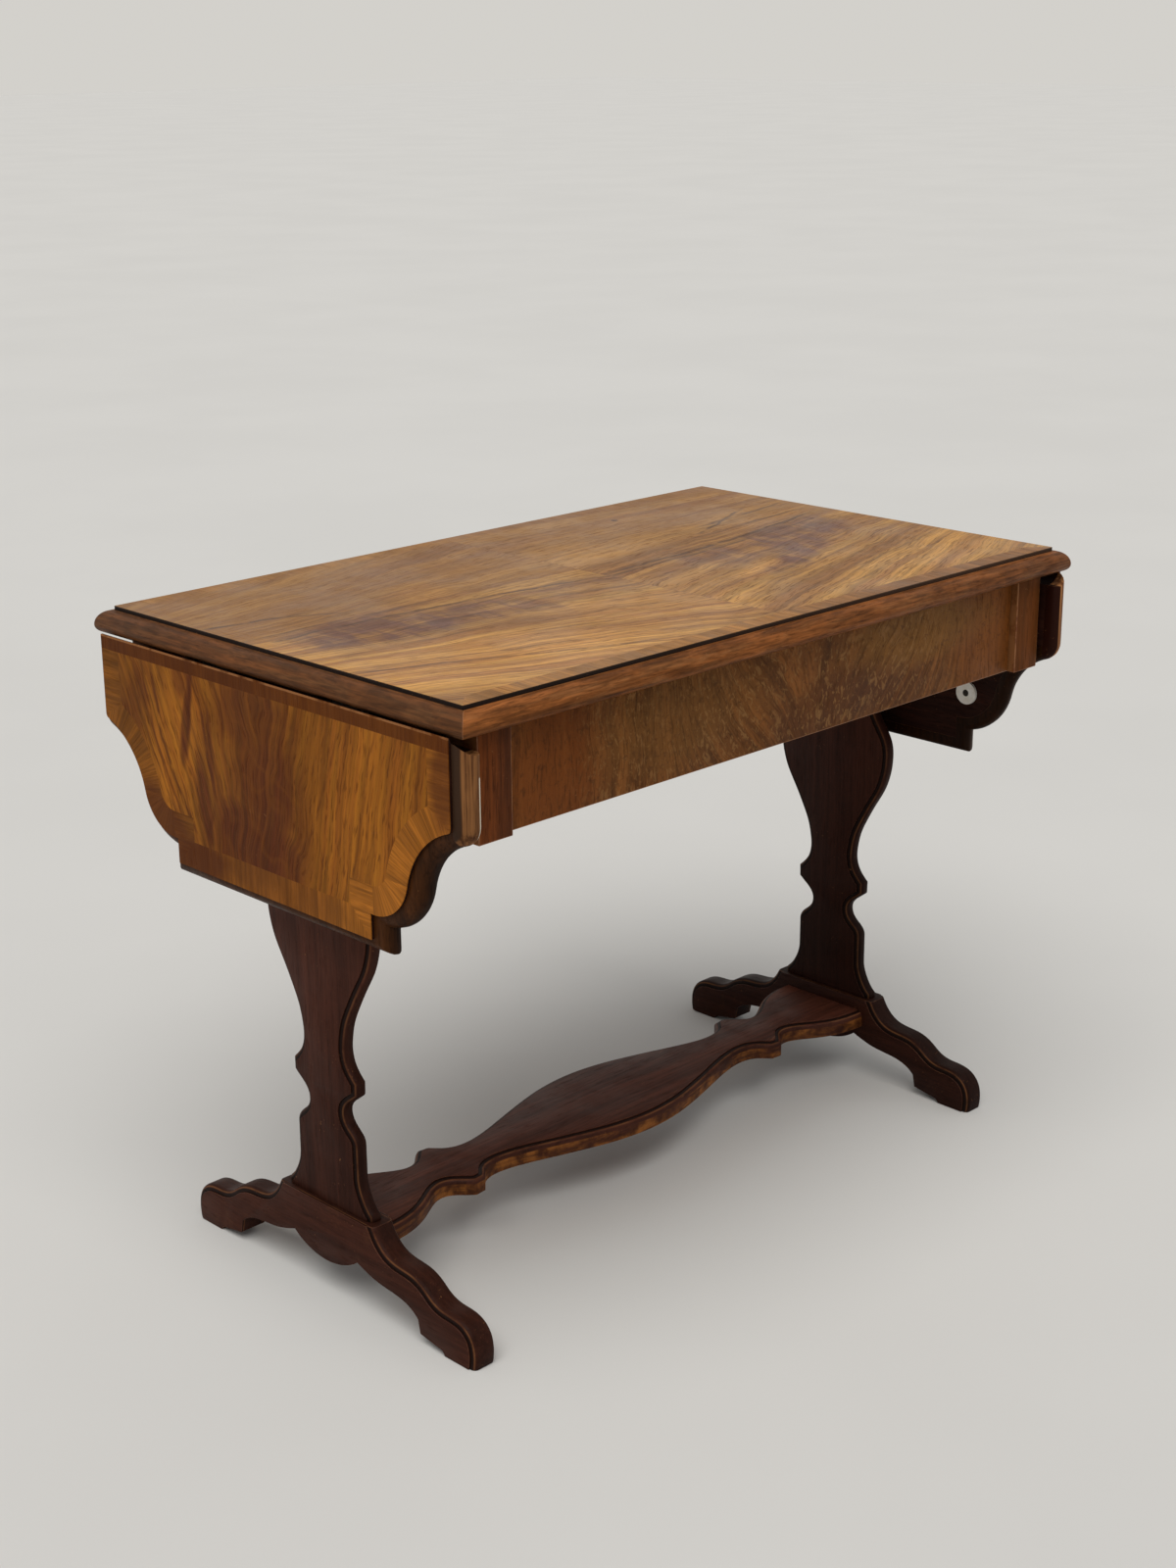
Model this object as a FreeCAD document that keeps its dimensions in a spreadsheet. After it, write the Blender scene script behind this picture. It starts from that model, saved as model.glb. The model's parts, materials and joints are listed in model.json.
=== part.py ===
import FreeCAD
import Part

import math
import os
import re

Vector = FreeCAD.Vector
Rotation = FreeCAD.Rotation

# Driving dimensions in millimetres. X runs along the long side, Y across, Z up from the floor.
SIZES = {
    # Top
    "table_height": 531,
    "field_half_length": 340,
    "field_half_width": 204,
    "panel_thickness": 21,
    "veneer_thickness": 0.8,
    "top_band_width": 17,
    "quirk_depth": 3,
    "ovolo_radius": 12,
    "bead_radius": 6,
    # Leaves
    "pin_inset": 2.5,
    "pin_depth": 17,
    "cove_clearance": 0.4,
    "leaf_gap": 0.5,
    "leaf_length": 168,
    "leaf_band_width": 22,
    "hinge_band_width": 11,
    "leaf_hollow_offset": 133,
    "leaf_hollow_reach": 20,
    "leaf_hollow_radius": 69,
    "leaf_round_offset": 110,
    "leaf_round_radius": 38,
    "leaf_corner_radius": 4,
    "leaf_tail_step": 3.5,
    # Frieze
    "frame_end_inset": 13,
    "frame_side_inset": 1.5,
    "frieze_depth": 82.5,
    "post_side": 32,
    "rail_thickness": 19,
    "rail_setback": 8,
    "tie_rail_width": 26,
    "tie_rail_height": 22,
    "front_setback": 6,
    "frame_screw_offset": 150,
    # Drawer
    "drawer_front_thickness": 18,
    "front_end_gap": 1,
    "front_edge_gap": 1,
    "grip_height": 8,
    "grip_depth": 9,
    "grip_half_length": 60,
    "dust_rail_lift": 9,
    "dust_rail_thickness": 10,
    "dust_rail_width": 40,
    "runner_width": 32,
    "guide_height": 13,
    "drawer_clearance": 1.2,
    "drawer_side_thickness": 10,
    "drawer_side_height": 36,
    "drawer_back_gap": 19,
    "drawer_back_thickness": 8,
    "drawer_bottom_thickness": 4,
    "drawer_bottom_lift": 5,
    "groove_depth": 4,
    "stop_side": 12,
    # Lopers
    "loper_width": 22,
    "loper_height": 18,
    "loper_length": 250,
    "loper_inset": 77.4,
    "loper_projection": 1.5,
    "running_gap": 0.3,
    "cheek_thickness": 12,
    "keeper_thickness": 4,
    "channel_length": 236,
    "disc_reach": 126.5,
    "disc_radius": 10.5,
    "disc_thickness": 2.5,
    # Trestles
    "foot_thickness": 24,
    "foot_height": 76,
    "foot_half_length": 174.5,
    "leg_thickness": 14,
    "leg_half_width": 64.3,
    "moulding_width": 5.5,
    "moulding_step": 1.3,
    "moulding_radius": 4.2,
    # Stretcher
    "stretcher_top": 65,
    "stretcher_thickness": 15.5,
    "stretcher_half_width": 55.5,
    # Hinges and fixings
    "hinge_offset": 78,
    "hinge_half_width": 19,
    "hinge_flap": 40,
    "hinge_fixed_flap": 26,
    "hinge_gauge": 2,
    "knuckle_radius": 3.2,
    "knuckle_setback": 4.5,
    "hinge_pin_radius": 1.5,
    "fit_clearance": 0.08,
    "pocket_clearance": 0.5,
    "screw_radius": 1.6,
    "screw_head_radius": 3.1,
    "screw_length": 13,
    "screw_spacing": 12,
    "screw_edge": 6,
    "frame_screw_length": 34,
    "dowel_radius": 4,
    "dowel_length": 36,
    "dowel_offset": 30,
    "shelf_dowel_radius": 4,
    "shelf_dowel_length": 36,
    "shelf_dowel_offset": 20,
    # Cuts run past their faces by this much
    "overrun": 5,
}

# Half widths and heights of a leg's right edge, from the foot up, as shares of its half width and
# height. Each row is one run: two points make a straight, more make a smooth curve.
LEG_EDGE_SHARES = [
    [(0.809, 0), (0.806, 0.014)],
    [(0.806, 0.014), (0.728, 0.028), (0.658, 0.048), (0.61, 0.068), (0.585, 0.091)],
    [(0.585, 0.091), (0.582, 0.171)],
    [(0.582, 0.171), (0.557, 0.185), (0.485, 0.199), (0.398, 0.213), (0.348, 0.23),
     (0.351, 0.248), (0.404, 0.263), (0.49, 0.276)],
    [(0.49, 0.276), (0.603, 0.292)],
    [(0.603, 0.292), (0.607, 0.324)],
    [(0.607, 0.324), (0.521, 0.339), (0.451, 0.356), (0.411, 0.376), (0.401, 0.395),
     (0.415, 0.418), (0.471, 0.458), (0.541, 0.486), (0.617, 0.512), (0.687, 0.535),
     (0.801, 0.569), (0.886, 0.597), (0.946, 0.626), (0.983, 0.654), (1, 0.686), (0.989, 0.717),
     (0.933, 0.745), (0.84, 0.772), (0.739, 0.802), (0.661, 0.839), (0.63, 0.882),
     (0.656, 0.922), (0.747, 0.959)],
    [(0.747, 0.959), (0.848, 0.972)],
    [(0.848, 0.972), (0.848, 1)],
]

# A foot's upper edge from the leg seat to the toe, as shares of its half length and height
FOOT_TOP_SHARES = [
    [(0.335, 1.0), (0.345, 0.96)],
    [(0.345, 0.96), (0.375, 0.86), (0.43, 0.765), (0.51, 0.725), (0.60, 0.70), (0.67, 0.63),
     (0.73, 0.535), (0.79, 0.49), (0.865, 0.478), (0.935, 0.43), (0.98, 0.33), (1.0, 0.18),
     (0.995, 0)],
]

# Its lower edge from the toe to the middle, in the same shares
FOOT_UNDER_SHARES = [
    [(0.995, 0), (0.81, 0)],
    [(0.81, 0), (0.795, 0.045)],
    [(0.795, 0.045), (0.65, 0.10)],
    [(0.65, 0.10), (0.637, 0.25)],
    [(0.637, 0.25), (0.57, 0.35), (0.46, 0.40), (0.35, 0.43), (0.28, 0.475), (0.225, 0.52)],
    [(0.225, 0.52), (0.16, 0.43), (0.08, 0.37), (0, 0.35)],
]

# Half of the stretcher's long edge, from the middle to the foot, as shares of half its length and
# of its half width
STRETCHER_EDGE_SHARES = [
    [(0, 1), (0.068, 0.98), (0.136, 0.923), (0.203, 0.834), (0.271, 0.726), (0.339, 0.609),
     (0.4, 0.503), (0.451, 0.429), (0.498, 0.386), (0.536, 0.389), (0.563, 0.429), (0.58, 0.486)],
    [(0.58, 0.486), (0.61, 0.658)],
    [(0.61, 0.658), (0.644, 0.676)],
    [(0.644, 0.676), (0.663, 0.6), (0.68, 0.508), (0.702, 0.418), (0.727, 0.386), (0.756, 0.422),
     (0.786, 0.508), (0.824, 0.634), (0.861, 0.737), (0.902, 0.816), (0.949, 0.865), (1, 0.879)],
]

# Where the rings of a moulded edge lie along its quarter round, as shares of a right angle
ROUND_STEP_SHARES = [0, 0.2, 0.4, 0.6, 0.8, 1]

document = FreeCAD.newDocument("folding_coffee_table")
sheet = document.addObject("Spreadsheet::Sheet", "Sizes")
for row, (alias, value) in enumerate(SIZES.items(), start=1):
    sheet.set(f"A{row}", alias.replace("_", " "))
    sheet.set(f"B{row}", str(value))
    sheet.setAlias(f"B{row}", alias)
document.recompute()

nodes = []


def mm(alias):
    """A driving dimension, read back from the sheet."""
    return float(getattr(sheet, alias))


def bind(item, path, text):
    """Bind a property to an expression in the sheet's names."""
    expression = re.sub(r"[a-z_]{4,}", lambda found: "Sizes." + found.group(0), text)
    item.setExpression(path, expression)


def place(item, x="0 mm", y="0 mm", z="0 mm"):
    """Bind an item's place to three expressions."""
    for axis, text in zip("xyz", (x, y, z)):
        bind(item, f"Placement.Base.{axis}", f"({text})")
    return item


def box(name, sides, corner):
    """A block with bound sides and a bound lowest corner."""
    item = document.addObject("Part::Box", name)
    for path, text in zip(("Length", "Width", "Height"), sides):
        bind(item, path, text)
    return place(item, *corner)


def cylinder(name, radius, length, base, direction="z"):
    """A round bar with a bound radius and length, along one axis from its base."""
    item = document.addObject("Part::Cylinder", name)
    bind(item, "Radius", radius)
    bind(item, "Height", length)
    turned = {"x": Rotation(Vector(0, 1, 0), 90), "y": Rotation(Vector(1, 0, 0), -90),
              "z": Rotation()}
    item.Placement.Rotation = turned[direction]
    return place(item, *base)


def cut(name, base, tools):
    """A base with every tool taken out of it."""
    tool = tools[0]
    if len(tools) > 1:
        tool = document.addObject("Part::MultiFuse", name + "_tools")
        tool.Shapes = tools
    item = document.addObject("Part::Cut", name)
    item.Base = base
    item.Tool = tool
    return item


def fuse(name, pieces):
    item = document.addObject("Part::MultiFuse", name)
    item.Shapes = pieces
    return item


def group(name, pieces):
    """Like pieces kept as separate solids of one node."""
    item = document.addObject("Part::Compound", name)
    item.Links = pieces
    return item


def solid(name, shape):
    """A piece whose shape is worked out here, where no feature fits it."""
    item = document.addObject("Part::Feature", name)
    item.Shape = shape
    return item


def node(item, label):
    """Hand a finished piece over under its own name."""
    item.Label = label
    nodes.append(item)
    return item


def turned_end(item, side):
    """Leave a piece at the right end, or swing it half a turn to the left end."""
    if side == "left":
        item.Placement = FreeCAD.Placement(Vector(), Rotation(Vector(0, 0, 1), 180))
    return item


PIN_X = "(field_half_length - pin_inset)"
PIN_Z = "(table_height - pin_depth)"
UNDERSIDE = "(table_height - panel_thickness)"
FRIEZE_BOTTOM = "(table_height - panel_thickness - frieze_depth)"
LOPER_TOP = "(table_height - panel_thickness - disc_thickness - running_gap)"
LOPER_Y = "(field_half_width - loper_inset)"
FRAME_END = "(field_half_length - frame_end_inset)"
FRAME_SIDE = "(field_half_width - frame_side_inset)"
RAIL_OUTER = "(field_half_length - frame_end_inset - rail_setback)"
OPENING = "(field_half_length - frame_end_inset - post_side)"
SIDE_OUTER = "(field_half_length - frame_end_inset - post_side - drawer_clearance)"
FRONT_BACK = "(field_half_width - frame_side_inset - front_setback - drawer_front_thickness)"
DRAWER_BASE = "(table_height - panel_thickness - frieze_depth + dust_rail_lift" \
              " + dust_rail_thickness + drawer_clearance / 2)"
DRAWER_DEPTH = f"(2 * {FRONT_BACK} - drawer_back_gap)"
TRESTLE = "(field_half_length - frame_end_inset - rail_setback - rail_thickness" \
          " + leg_thickness / 2)"


def hung(item, side):
    """Swing a leaf piece, built level at the right end, down about its hinge pin."""
    down = Rotation(Vector(0, 1, 0), 90)
    end = Rotation(Vector(0, 0, 1), 180) if side == "left" else Rotation()
    item.Placement = FreeCAD.Placement(Vector(), end.multiply(down))
    sign = "-" if side == "left" else ""
    bind(item, "Placement.Base.x", f"{sign}({PIN_X} - {PIN_Z})")
    bind(item, "Placement.Base.z", f"({PIN_Z} + {PIN_X})")
    return item


# Outlines

def curve_of(points):
    """A straight or a smooth curve through points in a plane."""
    flat = [Vector(a, b, 0) for a, b in points]
    if len(flat) == 2:
        return Part.LineSegment(flat[0], flat[1])
    curve = Part.BSplineCurve()
    curve.interpolate(flat)
    return curve


def inward(curve, point):
    """The inward normal at a point of a run, in an outline that turns anticlockwise."""
    tangent = curve.tangent(curve.parameter(Vector(point[0], point[1], 0)))[0]
    return Vector(-tangent.y, tangent.x, 0)


def corner_shift(before, after, first, second):
    """How a corner moves when the runs before and after it move in by first and second."""
    across = before.x * after.y - before.y * after.x
    if abs(across) < 0.05:
        middle = before + after
        return middle * ((first + second) / 2 / (1 + before.dot(after)))
    return Vector((first * after.y - second * before.y) / across,
                  (second * before.x - first * after.x) / across, 0)


def inset(runs, steps):
    """Move each run of a closed outline inward by its own step, mitred at the corners."""
    curves = [curve_of(run) for run in runs]
    moved = []
    for index, run in enumerate(runs):
        points = []
        for place_in_run, point in enumerate(run):
            normal = inward(curves[index], point)
            shift = normal * steps[index]
            if place_in_run == 0:
                last = index - 1
                shift = corner_shift(inward(curves[last], runs[last][-1]), normal,
                                     steps[last], steps[index])
            if place_in_run == len(run) - 1:
                following = (index + 1) % len(runs)
                shift = corner_shift(normal, inward(curves[following], runs[following][0]),
                                     steps[index], steps[following])
            points.append((point[0] + shift.x, point[1] + shift.y))
        moved.append(points)
    return moved


def ring(runs, level, lift):
    """A closed wire of an outline's runs, lifted to a level of its board."""
    edges = [curve_of(run).toShape() for run in runs]
    wire = Part.Wire(edges)
    wire.transformShape(FreeCAD.Placement(Vector(0, 0, level), Rotation()).toMatrix())
    wire.transformShape(lift.toMatrix())
    return wire


def slab(runs, low, high, lift):
    """A plain board of one outline between two levels."""
    face = Part.Face(ring(runs, low, lift))
    along = ring(runs, high, lift).BoundBox.Center - ring(runs, low, lift).BoundBox.Center
    return face.extrude(along)


def moulded_board(runs, moulded, thickness, lift, both_faces=True):
    """A board with a quirk and a quarter round worked along its moulded runs."""
    half = thickness / 2
    step = mm("moulding_step")
    radius = mm("moulding_radius")
    upper = []
    for share in ROUND_STEP_SHARES:
        angle = math.radians(90 * share)
        upper.append((half - step - radius * (1 - math.sin(angle)), radius * (1 - math.cos(angle))))
    profile = [(-level, depth) for level, depth in reversed(upper)] if both_faces else [(-half, 0)]
    profile += upper
    rings = []
    for level, depth in profile:
        rings.append(ring(inset(runs, [depth * share for share in moulded]), level, lift))
    board = Part.makeLoft(rings, True, True)
    face_runs = inset(runs, [mm("moulding_width") * share for share in moulded])
    raised = slab(face_runs, -half if both_faces else 0, half, lift)
    return board.fuse(raised).removeSplitter()


def mirrored(runs, flip_first=True):
    """The same runs on the other side, walked the other way."""
    turned = []
    for run in reversed(runs):
        turned.append([(-a, b) if flip_first else (a, -b) for a, b in reversed(run)])
    return turned


# Top

def make_top_panel():
    length = "2 * field_half_length"
    width = "2 * field_half_width"
    core = box("top_panel_core", (length, width, "panel_thickness - veneer_thickness"),
               ("-field_half_length", "-field_half_width", UNDERSIDE))
    tools = []
    for side in ("left", "right"):
        for offset in ("hinge_offset", "-hinge_offset"):
            tools += hinge_pockets(side, offset, True)
    tools += frame_screws("top_panel_hole", "screw_radius + fit_clearance")
    node(cut("top_panel_cut", core, tools), "top_panel")


def band_strip(name, long_half, short_half, bottom, turn):
    """A mitred strip of crossbanding along one side of a rectangle, as a flat trapezium."""
    width = mm("top_band_width")
    corners = [Vector(-long_half, -short_half, bottom), Vector(long_half, -short_half, bottom),
               Vector(long_half - width, width - short_half, bottom),
               Vector(width - long_half, width - short_half, bottom)]
    strip = Part.Face(Part.makePolygon(corners + corners[:1]))
    shape = strip.extrude(Vector(0, 0, mm("veneer_thickness")))
    shape.rotate(Vector(), Vector(0, 0, 1), turn)
    return solid(name, shape)


def make_top_veneer():
    bottom = "table_height - veneer_thickness"
    inner_length = "field_half_length - top_band_width"
    inner_width = "field_half_width - top_band_width"
    field = box("top_veneer_field", (f"2 * ({inner_length})", f"2 * ({inner_width})",
                                     "veneer_thickness"),
                (f"-({inner_length})", f"-({inner_width})", bottom))
    node(field, "top_veneer")
    level = mm("table_height") - mm("veneer_thickness")
    long_half = mm("field_half_length")
    short_half = mm("field_half_width")
    strips = []
    for turn, halves in ((0, (long_half, short_half)), (90, (short_half, long_half)),
                         (180, (long_half, short_half)), (270, (short_half, long_half))):
        strips.append(band_strip(f"top_band_{turn}", *halves, level, turn))
    node(group("top_bands", strips), "top_crossbanding")


def lipping_profile(start, out):
    """The moulding's section, in the plane through start that out points across."""
    ovolo = mm("ovolo_radius")
    bead = mm("bead_radius")
    top = mm("table_height") - mm("quirk_depth")
    centre = top - ovolo
    bottom = mm("table_height") - mm("panel_thickness")

    def at(distance, height):
        return start + out * distance + Vector(0, 0, height)

    slant = math.sqrt(0.5)
    nose = Part.Arc(at(0, top), at(ovolo * slant, centre + ovolo * slant), at(ovolo, centre))
    under = Part.Arc(at(ovolo, centre),
                     at(ovolo - bead + bead * slant, centre - bead * slant),
                     at(ovolo - bead, centre - bead))
    edges = [nose.toShape(), under.toShape()]
    last = at(ovolo - bead, centre - bead)
    if centre - bead - bottom > mm("veneer_thickness") / 10:
        edges.append(Part.makeLine(last, at(ovolo - bead, bottom)))
        last = at(ovolo - bead, bottom)
    edges.append(Part.makeLine(last, at(0, bottom)))
    edges.append(Part.makeLine(at(0, bottom), at(0, top)))
    return Part.Face(Part.Wire(edges))


def lipping(half_length, distance, turn):
    """A mitred lipping along one side of the top, turned about the middle of the table."""
    reach = mm("ovolo_radius")
    start = Vector(-half_length - reach, -distance, 0)
    shape = lipping_profile(start, Vector(0, -1, 0)).extrude(Vector(2 * (half_length + reach), 0, 0))
    low = mm("table_height") - mm("panel_thickness") - mm("overrun")
    height = Vector(0, 0, mm("panel_thickness") + 2 * mm("overrun"))
    corners = [Vector(-half_length, -distance, low), Vector(half_length, -distance, low),
               Vector(half_length + reach, -distance - reach, low),
               Vector(-half_length - reach, -distance - reach, low)]
    shape = shape.common(Part.Face(Part.makePolygon(corners + corners[:1])).extrude(height))
    shape.rotate(Vector(), Vector(0, 0, 1), turn)
    return shape


def make_top_mouldings():
    long_half = mm("field_half_length")
    short_half = mm("field_half_width")
    node(solid("front_lipping", lipping(long_half, short_half, 0)), "top_moulding_front")
    node(solid("back_lipping", lipping(long_half, short_half, 180)), "top_moulding_back")
    for side, turn in (("right", 90), ("left", 270)):
        plain = solid(f"{side}_lipping", lipping(short_half, long_half, turn))
        tools = []
        for offset in ("hinge_offset", "-hinge_offset"):
            tools += hinge_pockets(side, offset, False)
        node(cut(f"{side}_lipping_cut", plain, tools), f"top_moulding_{side}")


# Hinges

def mirrored_x(side, low, length):
    """The lowest X of a block that spans low to low + length at the right end."""
    return low if side == "right" else f"-({low} + {length})"


def hinge_pockets(side, offset, with_screws):
    """Recesses under the top for one hinge: its fixed plate, its knuckle and the swinging plate."""
    tag = f"pocket_{side}_{'back' if offset[0] != '-' else 'front'}_{len(document.Objects)}"
    width = "2 * (hinge_half_width + pocket_clearance)"
    low_y = f"{offset} - hinge_half_width - pocket_clearance"
    length = "hinge_fixed_flap + pocket_clearance"
    plate = box(tag + "_plate", (length, width, "hinge_gauge + fit_clearance + overrun"),
                (mirrored_x(side, f"({PIN_X} - hinge_fixed_flap - pocket_clearance)", length),
                 low_y, f"{UNDERSIDE} - overrun"))
    swing = "knuckle_setback + pocket_clearance + hinge_gauge"
    middle = "2 * knuckle_radius"
    low_middle = f"({PIN_X} - knuckle_radius)"
    knuckle = cylinder(tag + "_knuckle", swing, width,
                       (PIN_X if side == "right" else f"-{PIN_X}", low_y, PIN_Z), "y")
    reach = "ovolo_radius + pin_inset + overrun"
    swinging = box(tag + "_swing", (reach, width, "hinge_gauge + pocket_clearance + overrun"),
                   (mirrored_x(side, PIN_X, reach), low_y, f"{UNDERSIDE} - overrun"))
    under = box(tag + "_under", (middle, width, "knuckle_setback + overrun"),
                (mirrored_x(side, low_middle, middle), low_y, f"{UNDERSIDE} - overrun"))
    tools = [plate, knuckle, swinging, under]
    if with_screws:
        tools += fixed_plate_screws(tag, side, offset, "fit_clearance")
    return tools


def countersunk(name, x, y, base, head_radius, shank_radius, length):
    """A countersunk screw standing point up, its flat head at the base."""
    head = document.addObject("Part::Cone", name + "_head")
    bind(head, "Radius1", head_radius)
    bind(head, "Radius2", shank_radius)
    bind(head, "Height", f"{head_radius} - ({shank_radius})")
    place(head, x, y, base)
    shank = cylinder(name + "_shank", shank_radius, length, (x, y, base))
    return fuse(name, [head, shank])


def fixed_plate_screws(tag, side, offset, clearance):
    """The two screws of a hinge's fixed plate, or their holes when given a clearance."""
    screws = []
    sign = "" if side == "right" else "-"
    for index, along in enumerate(("screw_spacing", "-screw_spacing")):
        x = f"{sign}({PIN_X} - hinge_fixed_flap + screw_edge)"
        screws.append(countersunk(f"{tag}_screw_{index}", x, f"{offset} + {along}", UNDERSIDE,
                                  f"screw_head_radius + {clearance}",
                                  f"screw_radius + {clearance}",
                                  f"screw_length + {clearance}"))
    return screws


def leaf_plate_screws(tag, offset, clearance):
    """The three screws of a hinge's swinging plate, with the leaf level at the right end."""
    screws = []
    places = (("hinge_flap - screw_edge", "screw_spacing"),
              ("hinge_flap - screw_edge", "-screw_spacing"),
              ("hinge_flap - screw_edge - screw_spacing", "0 * screw_spacing"))
    for index, (reach, along) in enumerate(places):
        screws.append(countersunk(f"{tag}_screw_{index}", f"{PIN_X} + {reach}",
                                  f"{offset} + {along}", UNDERSIDE,
                                  f"screw_head_radius + {clearance}",
                                  f"screw_radius + {clearance}",
                                  f"screw_length + {clearance}"))
    return screws


def hinge_plate(tag, offset, fixed):
    """One plate of a rule-joint hinge with its knuckles, level at the right end."""
    width = "2 * hinge_half_width"
    third = "(hinge_half_width * 2 / 3)"
    low_y = f"{offset} - hinge_half_width"
    if fixed:
        plate = box(tag + "_plate", ("hinge_fixed_flap", width, "hinge_gauge"),
                    (f"{PIN_X} - hinge_fixed_flap", low_y, UNDERSIDE))
    else:
        plate = box(tag + "_plate", ("hinge_flap", width, "hinge_gauge"),
                    (PIN_X, low_y, UNDERSIDE))
    ends = ((low_y, third), (f"{offset} + {third} / 2", third))
    middle = ((f"{offset} - {third} / 2", third),)
    own = ends if fixed else middle
    other = middle if fixed else ends
    knuckles = []
    for index, (start, length) in enumerate(own):
        knuckles.append(cylinder(f"{tag}_knuckle_{index}", "knuckle_radius",
                                 f"{length} - 2 * fit_clearance",
                                 (PIN_X, f"{start} + fit_clearance", PIN_Z), "y"))
    tools = [cylinder(tag + "_bore", "hinge_pin_radius + fit_clearance",
                      f"{width} + 2 * overrun", (PIN_X, f"{low_y} - overrun", PIN_Z), "y")]
    for index, (start, length) in enumerate(other):
        tools.append(box(f"{tag}_gap_{index}",
                         ("2 * knuckle_setback", f"{length} + 2 * fit_clearance",
                          "2 * knuckle_setback"),
                         (f"{PIN_X} - knuckle_setback", f"{start} - fit_clearance",
                          f"{PIN_Z} - knuckle_setback")))
    sinks = fixed_plate_screws(tag, "right", offset, "fit_clearance") if fixed else \
        leaf_plate_screws(tag, offset, "fit_clearance")
    return cut(tag, fuse(tag + "_blank", [plate] + knuckles), tools + sinks)


def make_hinges(side):
    """Two hinges of one leaf: fixed plates and pins on the top, swinging plates on the leaf."""
    offsets = (("front", "-hinge_offset"), ("back", "hinge_offset"))
    fixed = [hinge_plate(f"{side}_{end}_fixed", offset, True) for end, offset in offsets]
    node(turned_end(group(f"{side}_fixed_plates", fixed), side), f"hinge_fixed_plates_{side}")
    swinging = [hinge_plate(f"{side}_{end}_swinging", offset, False) for end, offset in offsets]
    node(hung(group(f"{side}_swinging_plates", swinging), side), f"hinge_leaf_plates_{side}")
    pins = []
    for end, offset in offsets:
        pins.append(cylinder(f"{side}_{end}_pin", "hinge_pin_radius", "2 * hinge_half_width",
                             (PIN_X, f"{offset} - hinge_half_width", PIN_Z), "y"))
    node(turned_end(group(f"{side}_pins", pins), side), f"hinge_pins_{side}")
    screws = []
    for end, offset in offsets:
        screws += leaf_plate_screws(f"{side}_{end}_leaf", offset, "0 * fit_clearance")
    node(hung(group(f"{side}_leaf_screws", screws), side), f"hinge_screws_leaf_{side}")


def make_hinge_top_screws():
    screws = []
    for side in ("left", "right"):
        for end, offset in (("front", "-hinge_offset"), ("back", "hinge_offset")):
            screws += fixed_plate_screws(f"{side}_{end}_top", side, offset, "0 * fit_clearance")
    node(group("top_hinge_screws", screws), "hinge_screws_top")


# Leaves, built level at the right end with the veneered face up

def leaf_outline(grow):
    """The leaf's outline, moved out by grow from its veneered face, as a closed wire at Z zero."""
    pin_x = mm("field_half_length") - mm("pin_inset")
    lip = mm("field_half_length") + mm("leaf_gap")
    side_y = mm("field_half_width") + grow
    hollow = mm("leaf_hollow_radius")
    corner = mm("leaf_corner_radius")
    rounding = mm("leaf_round_radius")
    hollow_x = lip + mm("leaf_hollow_offset")
    hollow_y = mm("field_half_width") + mm("leaf_hollow_reach")
    corner_y = mm("field_half_width") - corner
    corner_x = hollow_x - math.sqrt((hollow + corner) ** 2 - (hollow_y - corner_y) ** 2)
    lean = math.atan2(corner_x - hollow_x, corner_y - hollow_y)
    round_x = lip + mm("leaf_round_offset")
    round_y = hollow_y - math.sqrt((hollow + rounding) ** 2 - (hollow_x - round_x) ** 2)
    swing = math.atan2(round_x - hollow_x, round_y - hollow_y)
    tail_y = round_y - mm("leaf_tail_step") + grow
    tail_x = lip + mm("leaf_length") + grow

    def on_circle(centre_x, centre_y, radius, angle):
        return Vector(centre_x + radius * math.sin(angle), centre_y + radius * math.cos(angle), 0)

    def arc(centre_x, centre_y, radius, first, last):
        points = [on_circle(centre_x, centre_y, radius, angle)
                  for angle in (first, (first + last) / 2, last)]
        return Part.Arc(*points).toShape()

    start = Vector(pin_x, side_y, 0)
    if corner + grow > 0:
        edges = [Part.makeLine(start, Vector(corner_x, side_y, 0)),
                 arc(corner_x, corner_y, corner + grow, 0, lean + math.pi)]
    else:
        reach = math.sqrt((hollow - grow) ** 2 - (hollow_y - side_y) ** 2)
        edges = [Part.makeLine(start, Vector(hollow_x - reach, side_y, 0))]
        lean = math.atan2(-reach, side_y - hollow_y)
    edges.append(arc(hollow_x, hollow_y, hollow - grow, lean, swing))
    inner = rounding + grow
    drop = tail_y - round_y
    if drop > -inner:
        end_angle = math.acos(drop / inner)
        edges.append(arc(round_x, round_y, inner, swing + math.pi, end_angle))
        notch = on_circle(round_x, round_y, inner, end_angle)
    else:
        edges.append(arc(round_x, round_y, inner, swing + math.pi, math.pi / 2))
        low = on_circle(round_x, round_y, inner, math.pi / 2)
        notch = Vector(low.x, tail_y, 0)
        edges.append(Part.makeLine(low, notch))
    tail = Vector(tail_x, tail_y, 0)
    edges.append(Part.makeLine(notch, tail))
    half = list(edges)
    for edge in reversed(half):
        edges.append(edge.mirror(Vector(), Vector(0, 1, 0)))
    edges.append(Part.makeLine(tail, Vector(tail_x, -tail_y, 0)))
    edges.append(Part.makeLine(Vector(pin_x, -side_y, 0), start))
    return Part.Wire(Part.__sortEdges__(edges))


def leaf_slab(grow, low, high):
    """The leaf's outline as a plain board between two heights."""
    wire = leaf_outline(grow)
    wire.translate(Vector(0, 0, low))
    return Part.Face(wire).extrude(Vector(0, 0, high - low))


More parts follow.
